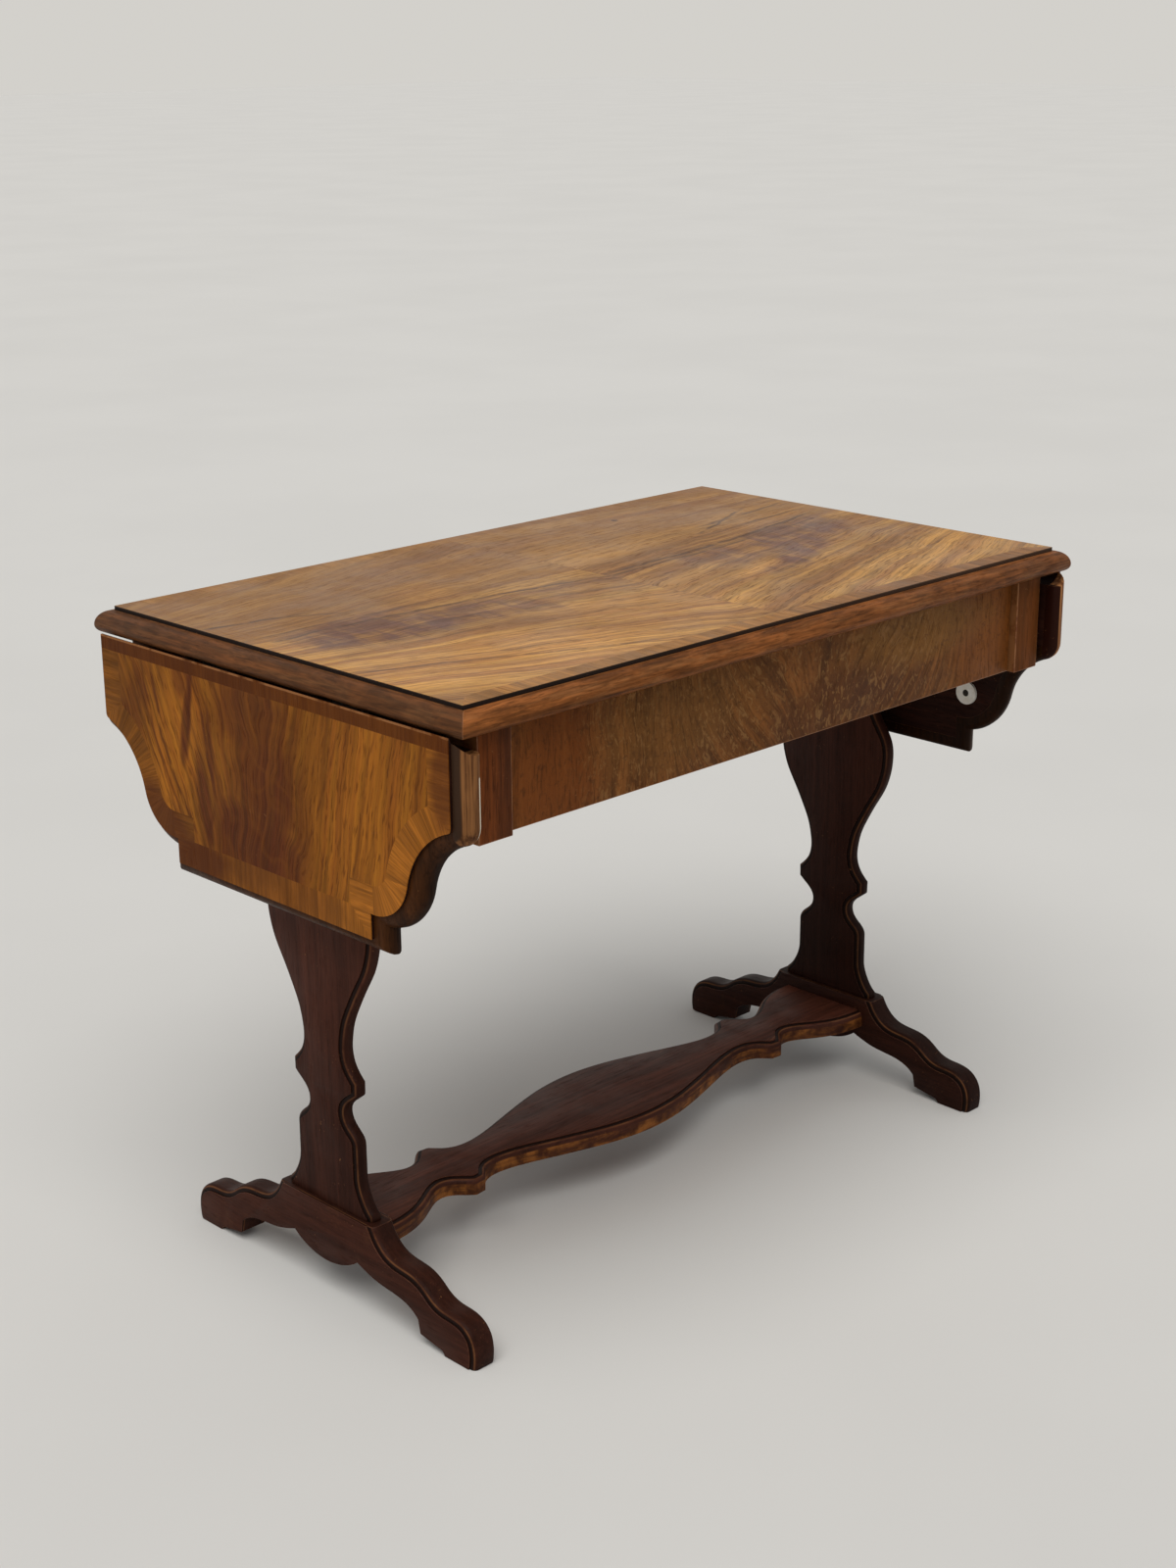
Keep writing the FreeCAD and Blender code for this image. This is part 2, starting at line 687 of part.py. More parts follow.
def rule_joint(shape):
    """Cut the hollow that rides over the top's moulded end, and square the lip."""
    pin_x = mm("field_half_length") - mm("pin_inset")
    pin_z = mm("table_height") - mm("pin_depth")
    lift = mm("pin_depth") - mm("quirk_depth") - mm("ovolo_radius")
    radius = math.hypot(mm("pin_inset"), lift) + mm("ovolo_radius") + mm("cove_clearance")
    span = mm("field_half_width") + mm("ovolo_radius") + mm("overrun")
    shape = shape.cut(Part.makeCylinder(radius, 2 * span, Vector(pin_x, -span, pin_z),
                                        Vector(0, 1, 0)))
    keep = mm("field_half_length") + mm("leaf_gap")
    back = pin_x - radius - mm("overrun")
    waste = Part.makeBox(keep - back, 2 * span, 2 * mm("panel_thickness"),
                         Vector(back, -span, pin_z - mm("panel_thickness")))
    return shape.cut(waste)


def make_leaf(side):
    top = mm("table_height")
    under = top - mm("panel_thickness")
    face_low = top - mm("veneer_thickness")
    panel = solid(f"{side}_leaf_blank", rule_joint(leaf_slab(0, under, face_low)))
    tools = []
    for end, offset in (("front", "-hinge_offset"), ("back", "hinge_offset")):
        tag = f"{side}_{end}_leaf_sink"
        tools.append(box(tag, ("hinge_flap + pocket_clearance + overrun",
                               "2 * (hinge_half_width + pocket_clearance)",
                               "hinge_gauge + fit_clearance + overrun"),
                         (f"{PIN_X} - overrun", f"{offset} - hinge_half_width - pocket_clearance",
                          f"{UNDERSIDE} - overrun")))
        tools += leaf_plate_screws(tag, offset, "fit_clearance")
    for end in ("front", "back"):
        tools.append(disc_screw(f"{side}_{end}_disc_hole", end, "fit_clearance"))
    node(hung(cut(f"{side}_leaf_cut", panel, tools), side), f"leaf_panel_{side}")
    field = leaf_slab(-mm("leaf_band_width"), face_low, top)
    span = mm("field_half_width") + mm("overrun")
    hinge_band = Part.makeBox(mm("hinge_band_width") + mm("leaf_gap") + mm("pin_inset"), 2 * span,
                              mm("panel_thickness"),
                              Vector(mm("field_half_length") - mm("pin_inset"), -span, under))
    field = field.cut(hinge_band)
    whole = rule_joint(leaf_slab(0, face_low, top))
    node(hung(solid(f"{side}_leaf_field", field), side), f"leaf_veneer_{side}")
    node(hung(solid(f"{side}_leaf_band", whole.cut(field)), side), f"leaf_crossbanding_{side}")
    node(hung(solid(f"{side}_leaf_lipping", leaf_lipping()), side), f"leaf_moulding_{side}")


def leaf_lipping():
    """The moulded lipping round the leaf's three free sides, with the top's own section."""
    reach = mm("ovolo_radius")
    bead = mm("bead_radius")
    top = mm("table_height") - mm("quirk_depth")
    under = mm("table_height") - mm("panel_thickness")
    centre = top - reach
    stack = []
    for first, second in zip(ROUND_STEP_SHARES, ROUND_STEP_SHARES[1:]):
        angles = (math.radians(90 * first), math.radians(90 * second))
        stack.append([(centre + reach * math.sin(angle), reach * math.cos(angle))
                      for angle in angles])
        stack.append([(centre - bead * math.sin(angle), reach - bead + bead * math.cos(angle))
                      for angle in angles])
    if centre - bead - under > mm("veneer_thickness") / 10:
        stack.append([(centre - bead, reach - bead), (under, reach - bead)])
    layers = []
    for (first_z, first_grow), (second_z, second_grow) in stack:
        wires = []
        for height, grow in sorted(((first_z, first_grow), (second_z, second_grow))):
            wire = leaf_outline(grow)
            wire.translate(Vector(0, 0, height))
            wires.append(wire)
        layers.append(Part.makeLoft(wires, True, True))
    body = layers[0].multiFuse(layers[1:])
    face = leaf_slab(0, under - mm("overrun"), top + mm("overrun"))
    return rule_joint(body).cut(face)


def disc_screw(name, end, clearance):
    sign = "-" if end == "front" else ""
    return countersunk(name, f"{PIN_X} + disc_reach", f"{sign}{LOPER_Y}",
                       f"{UNDERSIDE} - disc_thickness", f"screw_head_radius + {clearance}",
                       f"screw_radius + {clearance}", f"screw_length + {clearance}")


def make_wear_discs(side):
    """Two discs that the lopers bear on, screwed under the leaf."""
    discs = []
    screws = []
    for end in ("front", "back"):
        sign = "-" if end == "front" else ""
        blank = cylinder(f"{side}_{end}_disc_blank", "disc_radius", "disc_thickness",
                         (f"{PIN_X} + disc_reach", f"{sign}{LOPER_Y}",
                          f"{UNDERSIDE} - disc_thickness"))
        hole = disc_screw(f"{side}_{end}_disc_bore", end, "fit_clearance")
        discs.append(cut(f"{side}_{end}_disc", blank, [hole]))
        screws.append(disc_screw(f"{side}_{end}_disc_screw", end, "0 * fit_clearance"))
    node(hung(group(f"{side}_discs", discs), side), f"wear_discs_{side}")
    node(hung(group(f"{side}_disc_screws", screws), side), f"wear_disc_screws_{side}")


# Frieze

def make_posts():
    for side in ("left", "right"):
        for end in ("front", "back"):
            x = f"{FRAME_END} - post_side" if side == "right" else f"-{FRAME_END}"
            y = f"{FRAME_SIDE} - post_side" if end == "back" else f"-{FRAME_SIDE}"
            node(box(f"post_{side}_{end}", ("post_side", "post_side", "frieze_depth"),
                     (x, y, FRIEZE_BOTTOM)), f"corner_post_{side}_{end}")


def make_end_rails():
    for side in ("left", "right"):
        half = f"({FRAME_SIDE} - post_side)"
        blank = box(f"{side}_rail_blank", ("rail_thickness", f"2 * {half}", "frieze_depth"),
                    (f"{RAIL_OUTER} - rail_thickness", f"-{half}", FRIEZE_BOTTOM))
        tools = []
        for end, sign in (("front", "-"), ("back", "")):
            tools.append(box(f"{side}_{end}_notch",
                             ("rail_thickness + 2 * overrun",
                              "loper_width + 2 * running_gap",
                              "loper_height + disc_thickness + 2 * running_gap + overrun"),
                             (f"{RAIL_OUTER} - rail_thickness - overrun",
                              f"{sign}{LOPER_Y} - loper_width / 2 - running_gap",
                              f"{LOPER_TOP} - loper_height - running_gap")))
            tools.append(leg_dowel(f"{side}_{end}_rail_hole", sign, "top", "fit_clearance"))
        node(turned_end(cut(f"{side}_rail", blank, tools), side), f"end_rail_{side}")


def make_long_rails():
    span = OPENING
    inner_front = FRONT_BACK
    back = box("back_rail_blank", (f"2 * {span}", "drawer_front_thickness", "frieze_depth"),
               (f"-{span}", inner_front, FRIEZE_BOTTOM))
    node(back, "back_rail")
    upper = box("upper_rail_blank", (f"2 * {span}", "tie_rail_width", "tie_rail_height"),
                (f"-{span}", f"-{inner_front} + front_edge_gap",
                 f"{UNDERSIDE} - tie_rail_height"))
    holes = frame_screws("upper_rail_hole", "screw_radius + fit_clearance")
    node(cut("upper_rail", upper, holes[:2]), "front_rail_upper")
    lower = box("lower_rail_blank", (f"2 * {span}", "dust_rail_width", "dust_rail_thickness"),
                (f"-{span}", f"-{inner_front} + front_edge_gap",
                 f"{FRIEZE_BOTTOM} + dust_rail_lift"))
    node(lower, "front_rail_lower")
    batten = box("batten_blank", (f"2 * {span}", "tie_rail_width", "tie_rail_height"),
                 (f"-{span}", f"{inner_front} - tie_rail_width", f"{UNDERSIDE} - tie_rail_height"))
    node(cut("batten", batten, holes[2:]), "back_batten")


def frame_screws(tag, shank_radius):
    """Four screws that hold the top down, point up, or their holes; the front two come first."""
    inner_front = FRONT_BACK
    front = f"-{inner_front} + front_edge_gap + tie_rail_width / 2"
    back = f"{inner_front} - tie_rail_width / 2"
    screws = []
    for index, (x, y) in enumerate((("-frame_screw_offset", front), ("frame_screw_offset", front),
                                    ("-frame_screw_offset", back), ("frame_screw_offset", back))):
        head = "screw_head_radius" + shank_radius.replace("screw_radius", "")
        screws.append(countersunk(f"{tag}_{index}", x, y, f"{UNDERSIDE} - tie_rail_height",
                                  head, shank_radius, "frame_screw_length"))
    return screws


def make_frame_screws():
    node(group("frame_screws", frame_screws("frame_screw", "screw_radius")), "top_fixing_screws")


# Lopers

def make_lopers():
    """Bars that pull out from the end rails to carry the raised leaves, and their channels."""
    for side in ("left", "right"):
        channels = []
        for end, sign in (("front", "-"), ("back", "")):
            low_x = f"{FRAME_END} - loper_projection - loper_length"
            bar = box(f"{side}_{end}_loper", ("loper_length", "loper_width", "loper_height"),
                      (mirrored_x(side, f"({low_x})", "loper_length"),
                       f"{sign}{LOPER_Y} - loper_width / 2", f"{LOPER_TOP} - loper_height"))
            node(bar, f"loper_{side}_{end}")
            outer = box(f"{side}_{end}_channel_blank",
                        ("channel_length",
                         "loper_width + 2 * running_gap + 2 * cheek_thickness",
                         f"{UNDERSIDE} - {LOPER_TOP} + loper_height + running_gap"
                         " + keeper_thickness"),
                        (f"{RAIL_OUTER} - rail_thickness - channel_length",
                         f"{sign}{LOPER_Y} - loper_width / 2 - running_gap"
                         " - cheek_thickness",
                         f"{LOPER_TOP} - loper_height - running_gap - keeper_thickness"))
            groove = box(f"{side}_{end}_groove",
                         ("channel_length + 2 * overrun", "loper_width + 2 * running_gap",
                          "loper_height + disc_thickness + 2 * running_gap + overrun"),
                         (f"{RAIL_OUTER} - rail_thickness - channel_length - overrun",
                          f"{sign}{LOPER_Y} - loper_width / 2 - running_gap",
                          f"{LOPER_TOP} - loper_height - running_gap"))
            channels.append(cut(f"{side}_{end}_channel", outer, [groove]))
        node(turned_end(group(f"{side}_channels", channels), side), f"loper_channels_{side}")


# Drawer

def make_drawer_front():
    half = f"({OPENING} - front_end_gap)"
    blank = box("front_blank", (f"2 * {half}", "drawer_front_thickness",
                                "frieze_depth - 2 * front_edge_gap"),
                (f"-{half}", f"-{FRONT_BACK} - drawer_front_thickness",
                 f"{FRIEZE_BOTTOM} + front_edge_gap"))
    grip = box("finger_grip", ("2 * grip_half_length", "grip_depth + overrun",
                               "grip_height + overrun"),
               ("-grip_half_length", f"-{FRONT_BACK} - grip_depth",
                f"{FRIEZE_BOTTOM} + front_edge_gap - overrun"))
    groove = box("front_groove", (f"2 * ({SIDE_OUTER} - drawer_side_thickness + groove_depth)",
                                  "groove_depth + overrun", "drawer_bottom_thickness"),
                 (f"-({SIDE_OUTER} - drawer_side_thickness + groove_depth)",
                  f"-{FRONT_BACK} - groove_depth", f"{DRAWER_BASE} + drawer_bottom_lift"))
    node(cut("front_cut", blank, [grip, groove]), "drawer_front")


def make_drawer_sides():
    for side in ("left", "right"):
        low_x = f"({SIDE_OUTER} - drawer_side_thickness)"
        blank = box(f"{side}_side_blank", ("drawer_side_thickness", f"{DRAWER_DEPTH}",
                                           "drawer_side_height"),
                    (mirrored_x(side, low_x, "drawer_side_thickness"), f"-{FRONT_BACK}",
                     DRAWER_BASE))
        low_groove = f"({SIDE_OUTER} - drawer_side_thickness - overrun)"
        groove = box(f"{side}_side_groove", ("groove_depth + overrun", f"{DRAWER_DEPTH} + 2 * overrun",
                                             "drawer_bottom_thickness"),
                     (mirrored_x(side, low_groove, "(groove_depth + overrun)"),
                      f"-{FRONT_BACK} - overrun", f"{DRAWER_BASE} + drawer_bottom_lift"))
        node(cut(f"{side}_side", blank, [groove]), f"drawer_side_{side}")


def make_drawer_back_and_bottom():
    inner = f"({SIDE_OUTER} - drawer_side_thickness)"
    lift = "(drawer_bottom_lift + drawer_bottom_thickness)"
    node(box("drawer_back_board", (f"2 * {inner}", "drawer_back_thickness",
                                   f"drawer_side_height - {lift}"),
             (f"-{inner}", f"-{FRONT_BACK} + {DRAWER_DEPTH} - drawer_back_thickness",
              f"{DRAWER_BASE} + {lift}")), "drawer_back")
    reach = f"({inner} + groove_depth)"
    node(box("drawer_bottom_board", (f"2 * {reach}", f"{DRAWER_DEPTH} + groove_depth",
                                     "drawer_bottom_thickness"),
             (f"-{reach}", f"-{FRONT_BACK} - groove_depth",
              f"{DRAWER_BASE} + drawer_bottom_lift")), "drawer_bottom")


def make_runners():
    """Runners that carry the drawer's sides, each with a guide strip beside the drawer."""
    inner_rail = f"({RAIL_OUTER} - rail_thickness)"
    start = f"(-{FRONT_BACK} + front_edge_gap + dust_rail_width)"
    length = f"({FRAME_SIDE} - post_side - {start})"
    for side in ("left", "right"):
        low_x = f"({inner_rail} - runner_width)"
        bearer = box(f"{side}_bearer", ("runner_width", length, "dust_rail_thickness"),
                     (mirrored_x(side, low_x, "runner_width"), start,
                      f"{FRIEZE_BOTTOM} + dust_rail_lift"))
        guide_width = f"({inner_rail} - {OPENING})"
        guide = box(f"{side}_guide", (guide_width, length, "guide_height"),
                    (mirrored_x(side, OPENING, guide_width), start,
                     f"{FRIEZE_BOTTOM} + dust_rail_lift + dust_rail_thickness"))
        node(fuse(f"{side}_runner", [bearer, guide]), f"drawer_runner_{side}")


def make_drawer_stops():
    """Blocks on the runners' ends that the drawer's sides close against."""
    stops = []
    back_of_side = f"(-{FRONT_BACK} + {DRAWER_DEPTH} + running_gap)"
    for side in ("left", "right"):
        low_x = f"({SIDE_OUTER} - stop_side)"
        stops.append(box(f"{side}_stop", ("stop_side", f"{FRONT_BACK} - {back_of_side}",
                                          "stop_side"),
                         (mirrored_x(side, low_x, "stop_side"), back_of_side,
                          f"{FRIEZE_BOTTOM} + dust_rail_lift + dust_rail_thickness")))
    node(group("stop_blocks", stops), "drawer_stops")


# Trestles

def scaled(runs, across, along):
    """Shares turned into sizes."""
    return [[(a * across, b * along) for a, b in run] for run in runs]


UPRIGHT = Rotation(Vector(0, 1, 0), Vector(0, 0, 1), Vector(1, 0, 0), "ZXY")


def leg_dowel(name, sign, place_of, clearance):
    """A dowel between a leg and its end rail or foot, or its hole, at the right end."""
    joint = FRIEZE_BOTTOM if place_of == "top" else "foot_height"
    return cylinder(name, f"dowel_radius + {clearance}", f"dowel_length + 2 * {clearance}",
                    (TRESTLE, f"{sign}dowel_offset",
                     f"{joint} - dowel_length / 2 - {clearance}"))


def shelf_dowel(name, side, sign, clearance):
    """A dowel between the stretcher and a foot, or its hole."""
    joint = f"({TRESTLE} - foot_thickness / 2)"
    length = f"shelf_dowel_length + 2 * {clearance}"
    low_x = f"({joint} - shelf_dowel_length * 2 / 3 - {clearance})"
    return cylinder(name, f"shelf_dowel_radius + {clearance}", length,
                    (mirrored_x(side, low_x, f"({length})"), f"{sign}shelf_dowel_offset",
                     "stretcher_top - stretcher_thickness / 2"), "x")


def trestle_x():
    """How far a trestle's middle stands from the middle of the table."""
    rail_inner = mm("field_half_length") - mm("frame_end_inset") - mm("rail_setback")
    return rail_inner - mm("rail_thickness") + mm("leg_thickness") / 2


def make_leg(side):
    foot_top = mm("foot_height")
    height = mm("table_height") - mm("panel_thickness") - mm("frieze_depth") - foot_top
    edge = scaled(LEG_EDGE_SHARES, mm("leg_half_width"), height)
    top = [edge[-1][-1], (-edge[-1][-1][0], height)]
    seat = [(-edge[0][0][0], 0), edge[0][0]]
    runs = edge + [top] + mirrored(edge) + [seat]
    moulded = [1] * len(edge) + [0] + [1] * len(edge) + [0]
    lift = FreeCAD.Placement(Vector(trestle_x(), 0, foot_top), UPRIGHT)
    blank = solid(f"{side}_leg_blank",
                  moulded_board(runs, moulded, mm("leg_thickness"), lift))
    holes = []
    for end, sign in (("front", "-"), ("back", "")):
        for level in ("top", "foot"):
            holes.append(leg_dowel(f"{side}_{end}_{level}_leg_hole", sign, level, "fit_clearance"))
    node(turned_end(cut(f"{side}_leg", blank, holes), side), f"leg_{side}")


def make_foot(side):
    upper = scaled(FOOT_TOP_SHARES, mm("foot_half_length"), mm("foot_height"))
    under = scaled(FOOT_UNDER_SHARES, mm("foot_half_length"), mm("foot_height"))
    right_top = [[(a, b) for a, b in reversed(run)] for run in reversed(upper)]
    right_under = [[(a, b) for a, b in reversed(run)] for run in reversed(under)]
    seat = [upper[0][0], (-upper[0][0][0], upper[0][0][1])]
    whole_under = mirrored(right_under)
    middle = whole_under[-1][:-1] + right_under[0]
    runs = right_under[1:] + right_top + [seat] + mirrored(right_top) + whole_under[:-1] + [middle]
    plain = [0] * len(right_under[1:])
    shaped = [1] * len(right_top)
    moulded = plain + shaped + [0] + shaped + [0] * (len(whole_under) - 1) + [0]
    lift = FreeCAD.Placement(Vector(trestle_x(), 0, 0), UPRIGHT)
    blank = solid(f"{side}_foot_blank",
                  moulded_board(runs, moulded, mm("foot_thickness"), lift))
    holes = []
    for end, sign in (("front", "-"), ("back", "")):
        holes.append(leg_dowel(f"{side}_{end}_foot_hole", sign, "foot", "fit_clearance"))
        holes.append(shelf_dowel(f"{side}_{end}_foot_shelf_hole", "right", sign, "fit_clearance"))
    node(turned_end(cut(f"{side}_foot", blank, holes), side), f"foot_{side}")


def make_stretcher():
    half = trestle_x() - mm("foot_thickness") / 2
    quarter = scaled(STRETCHER_EDGE_SHARES, half, mm("stretcher_half_width"))
    far_right = [[(a, b) for a, b in reversed(run)] for run in reversed(quarter)]
    far_left = mirrored(far_right)
    join = far_right[-1][:-1] + far_left[0]
    far = far_right[:-1] + [join] + far_left[1:]
    near = mirrored(far, flip_first=False)
    left_end = [far[-1][-1], near[0][0]]
    right_end = [near[-1][-1], far[0][0]]
    runs = far + [left_end] + near + [right_end]
    moulded = [1] * len(far) + [0] + [1] * len(near) + [0]
    thickness = mm("stretcher_thickness")
    lift = FreeCAD.Placement(Vector(0, 0, mm("stretcher_top") - thickness / 2), Rotation())
    blank = solid("stretcher_blank",
                  moulded_board(runs, moulded, thickness, lift, both_faces=False))
    holes = []
    for side in ("left", "right"):
        for end, sign in (("front", "-"), ("back", "")):
            holes.append(shelf_dowel(f"{side}_{end}_shelf_hole", side, sign, "fit_clearance"))
    node(cut("stretcher_cut", blank, holes), "stretcher_shelf")


def make_dowels():
    joints = []
    shelf = []
    for side in ("left", "right"):
        legs = []
        for end, sign in (("front", "-"), ("back", "")):
            for level in ("top", "foot"):
                legs.append(leg_dowel(f"{side}_{end}_{level}_dowel", sign, level,
                                      "0 * fit_clearance"))
            shelf.append(shelf_dowel(f"{side}_{end}_shelf_dowel", side, sign,
                                     "0 * fit_clearance"))
        joints.append(turned_end(group(f"{side}_leg_dowels", legs), side))
    node(group("all_leg_dowels", joints), "leg_dowels")
    node(group("all_shelf_dowels", shelf), "stretcher_dowels")


def make_table():
    make_top_panel()
    make_top_veneer()
    make_top_mouldings()
    make_hinge_top_screws()
    for side in ("left", "right"):
        make_leaf(side)
        make_wear_discs(side)
        make_hinges(side)
        make_leg(side)
        make_foot(side)
    make_posts()
    make_end_rails()
    make_long_rails()
    make_frame_screws()
    make_lopers()
    make_drawer_front()
    make_drawer_sides()
    make_drawer_back_and_bottom()
    make_runners()
    make_drawer_stops()
    make_stretcher()
    make_dowels()


def check_model():
    """Stop on any object that failed, and on any piece that isn't a sound solid."""
    for item in document.Objects:
        if "Invalid" in item.State or "Error" in item.State:
            raise RuntimeError(f"{item.Name} failed: {item.State}")
    for item in nodes:
        shape = item.Shape
        if shape.isNull() or not shape.isValid() or not shape.Solids or shape.Volume <= 0:
            raise RuntimeError(f"{item.Label} is not a sound solid")


make_table()
document.recompute()
check_model()
os.makedirs("parts", exist_ok=True)
for item in nodes:
    item.Shape.exportStep(f"parts/{item.Label}.step")
print(len(nodes), "nodes")
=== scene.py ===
import json
import math

import bmesh
import bpy
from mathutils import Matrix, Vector

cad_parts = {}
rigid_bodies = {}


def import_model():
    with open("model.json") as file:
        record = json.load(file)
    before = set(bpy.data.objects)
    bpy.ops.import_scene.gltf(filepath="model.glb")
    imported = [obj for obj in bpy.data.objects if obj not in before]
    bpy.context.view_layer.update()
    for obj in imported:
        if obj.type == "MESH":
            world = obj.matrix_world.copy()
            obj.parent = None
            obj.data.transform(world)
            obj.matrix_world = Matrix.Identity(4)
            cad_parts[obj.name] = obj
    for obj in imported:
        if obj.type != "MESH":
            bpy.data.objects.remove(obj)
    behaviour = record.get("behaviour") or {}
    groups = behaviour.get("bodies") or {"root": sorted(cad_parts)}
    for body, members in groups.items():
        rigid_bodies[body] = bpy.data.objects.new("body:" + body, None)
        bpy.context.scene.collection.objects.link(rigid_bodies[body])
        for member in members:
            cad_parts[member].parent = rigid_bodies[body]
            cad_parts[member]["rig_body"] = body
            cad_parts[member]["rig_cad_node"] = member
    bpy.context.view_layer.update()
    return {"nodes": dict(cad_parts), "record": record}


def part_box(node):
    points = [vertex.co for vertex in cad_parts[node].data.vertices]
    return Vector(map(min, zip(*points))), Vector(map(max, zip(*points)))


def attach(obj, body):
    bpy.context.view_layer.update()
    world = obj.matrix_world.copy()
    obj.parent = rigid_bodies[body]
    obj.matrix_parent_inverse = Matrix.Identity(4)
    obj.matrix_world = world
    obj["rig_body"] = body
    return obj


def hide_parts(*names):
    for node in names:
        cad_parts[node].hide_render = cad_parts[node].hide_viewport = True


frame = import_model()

bl_info = {
    "name": "Drop-leaf coffee table",
    "version": (1, 0, 0),
    "blender": (4, 5, 0),
    "location": "View3D > Sidebar > Coffee Table",
    "description": "Finishes a veneered drop-leaf coffee table on a trestle base",
    "category": "Object",
}

NODES = frame["nodes"]
BODY_OF = {node: body for body, members in frame["record"]["behaviour"]["bodies"].items()
           for node in members}
SIDES = ("left", "right")
ENDS = ("front", "back")


def colour(name, description, default):
    return bpy.props.FloatVectorProperty(name=name, description=description, default=default,
                                         size=3, min=0, max=1, subtype="COLOR")


def amount(name, description, default, highest=1.0):
    return bpy.props.FloatProperty(name=name, description=description, default=default, min=0,
                                   max=highest)


class TableFinish(bpy.types.PropertyGroup):
    """Colours and finish of the table's woods and fittings"""
    top_light: colour("Top, light streaks", "Lightest veneer of the top", (0.56, 0.28, 0.069))
    top_brown: colour("Top, brown streaks", "Brown veneer of the top", (0.262, 0.113, 0.03))
    top_figure: colour("Top, figure", "Purple-brown heart of the top", (0.145, 0.062, 0.038))
    leaf_light: colour("Leaf, light streaks", "Lightest leaf veneer", (0.365, 0.128, 0.011))
    leaf_brown: colour("Leaf, brown streaks", "Brown leaf veneer", (0.195, 0.06, 0.006))
    leaf_figure: colour("Leaf, figure", "Dark heart of the leaves", (0.098, 0.0225, 0.0048))
    band: colour("Crossbanding", "Veneer strips round each leaf", (0.24, 0.081, 0.009))
    moulding: colour("Mouldings", "The moulded lippings", (0.165, 0.054, 0.014))
    frame: colour("Frieze", "Posts and rails", (0.116, 0.0295, 0.006))
    drawer: colour("Drawer front", "The mottled drawer front", (0.16, 0.056, 0.012))
    trestle: colour("Trestles", "Legs, feet and stretcher", (0.06, 0.0185, 0.0105))
    bare: colour("Bare wood", "Worn arrises and rubbed edges", (0.32, 0.135, 0.048))
    inner: colour("Inner wood", "Unpolished wood inside", (0.34, 0.205, 0.105))
    steel: colour("Steel", "Hinges and screws", (0.24, 0.21, 0.18))
    disc: colour("Wear disc", "The white plastic discs", (0.8, 0.79, 0.74))
    wear: amount("Wear", "How far the arrises and polish are worn", 0.6)
    gloss: amount("Gloss", "Strength of the polish's reflections", 0.06)


class TableSizes(bpy.types.PropertyGroup):
    """Sizes that aren't in the solids"""
    arris: bpy.props.FloatProperty(name="Eased arris", description="Width of a softened edge",
                                   default=0.0008, min=0.0001, max=0.003, unit="LENGTH")


class StageSettings(bpy.types.PropertyGroup):
    """Floor, lamps and camera"""
    floor: colour("Floor", "The plain pale floor", (0.665, 0.648, 0.612))
    lens: bpy.props.FloatProperty(name="Lens", description="Focal length of the camera",
                                  default=53.882, min=10, max=200, unit="CAMERA")
    camera_place: bpy.props.FloatVectorProperty(
        name="Camera place", description="Where the camera stands",
        default=(-1.33744, -1.33016, 0.96324), size=3, subtype="TRANSLATION", unit="LENGTH")
    camera_turn: bpy.props.FloatVectorProperty(
        name="Camera turn", description="How the camera is turned",
        default=(math.radians(72.008), math.radians(0.4163), math.radians(-44.8256)), size=3,
        subtype="EULER", unit="ROTATION")
    key: amount("Key light", "Strength of the broad light overhead", 2.15, 10.0)
    key_spread: bpy.props.FloatProperty(name="Key spread", description="How soft the key light is",
                                        default=math.radians(54), min=0, max=math.pi,
                                        subtype="ANGLE")
    key_from: bpy.props.FloatVectorProperty(
        name="Key from", description="The direction that the key light comes from",
        default=(-0.35, -0.25, 0.9), size=3, subtype="DIRECTION")
    sky: amount("Surroundings", "Strength of the pale surroundings", 0.36, 4.0)
    backdrop: amount("Backdrop", "How bright the far background looks", 0.98, 4.0)


def finish():
    return bpy.context.scene.table_finish


# Reckoning with nodes

def sign(operation, swapped=False):
    """The meaning of an arithmetic sign beside a wire: one maths node."""
    def reckon(wire, other):
        return maths(operation, *((other, wire) if swapped else (wire, other)))

    return reckon


class Wire:
    """An output of a node; arithmetic signs beside it add maths nodes to its tree."""

    __add__ = sign("ADD")
    __sub__ = sign("SUBTRACT")
    __rsub__ = sign("SUBTRACT", swapped=True)
    __mul__ = sign("MULTIPLY")
    __truediv__ = sign("DIVIDE")
    __gt__ = sign("GREATER_THAN")
    __lt__ = sign("LESS_THAN")

    def __init__(self, tree, socket):
        self.tree = tree
        self.socket = socket

    def __abs__(self):
        return maths("ABSOLUTE", self)


def feed(value, socket):
    """Link a wire to a socket, or set the socket's plain value."""
    if isinstance(value, Wire):
        value.tree.links.new(value.socket, socket)
    elif hasattr(socket.default_value, "__len__"):
        opaque = (1.0,) * (len(socket.default_value) - len(value))
        socket.default_value = tuple(value) + opaque
    else:
        socket.default_value = value


def tree_of(*values):
    """The node tree of the first wire among some values."""
    return next(value.tree for value in values if isinstance(value, Wire))


def wires(tree, node):
    """A node's outputs by their names."""
    return {socket.name: Wire(tree, socket) for socket in node.outputs}


def added(tree, kind, inputs, output=0, **choices):
    """Add a node with its choices and its inputs, by place or name, and give one output."""
    node = tree.nodes.new(f"ShaderNode{kind}")
    for name, choice in choices.items():
        setattr(node, name, choice)
    for place, value in inputs.items():
        feed(value, node.inputs[place])
    return Wire(tree, node.outputs[output])


def maths(operation, *values, clamp=False):
    return added(tree_of(*values), "Math", dict(enumerate(values)), operation=operation,
                 use_clamp=clamp)


def larger(first, second):
    return maths("MAXIMUM", first, second)


def vector_maths(operation, first, second):
    return added(first.tree, "VectorMath", {0: first, 1: second}, "Vector", operation=operation)


def stretch(vector, *shares):
    """A vector whose coordinates are multiplied by their shares."""
    return vector_maths("MULTIPLY", vector, shares)


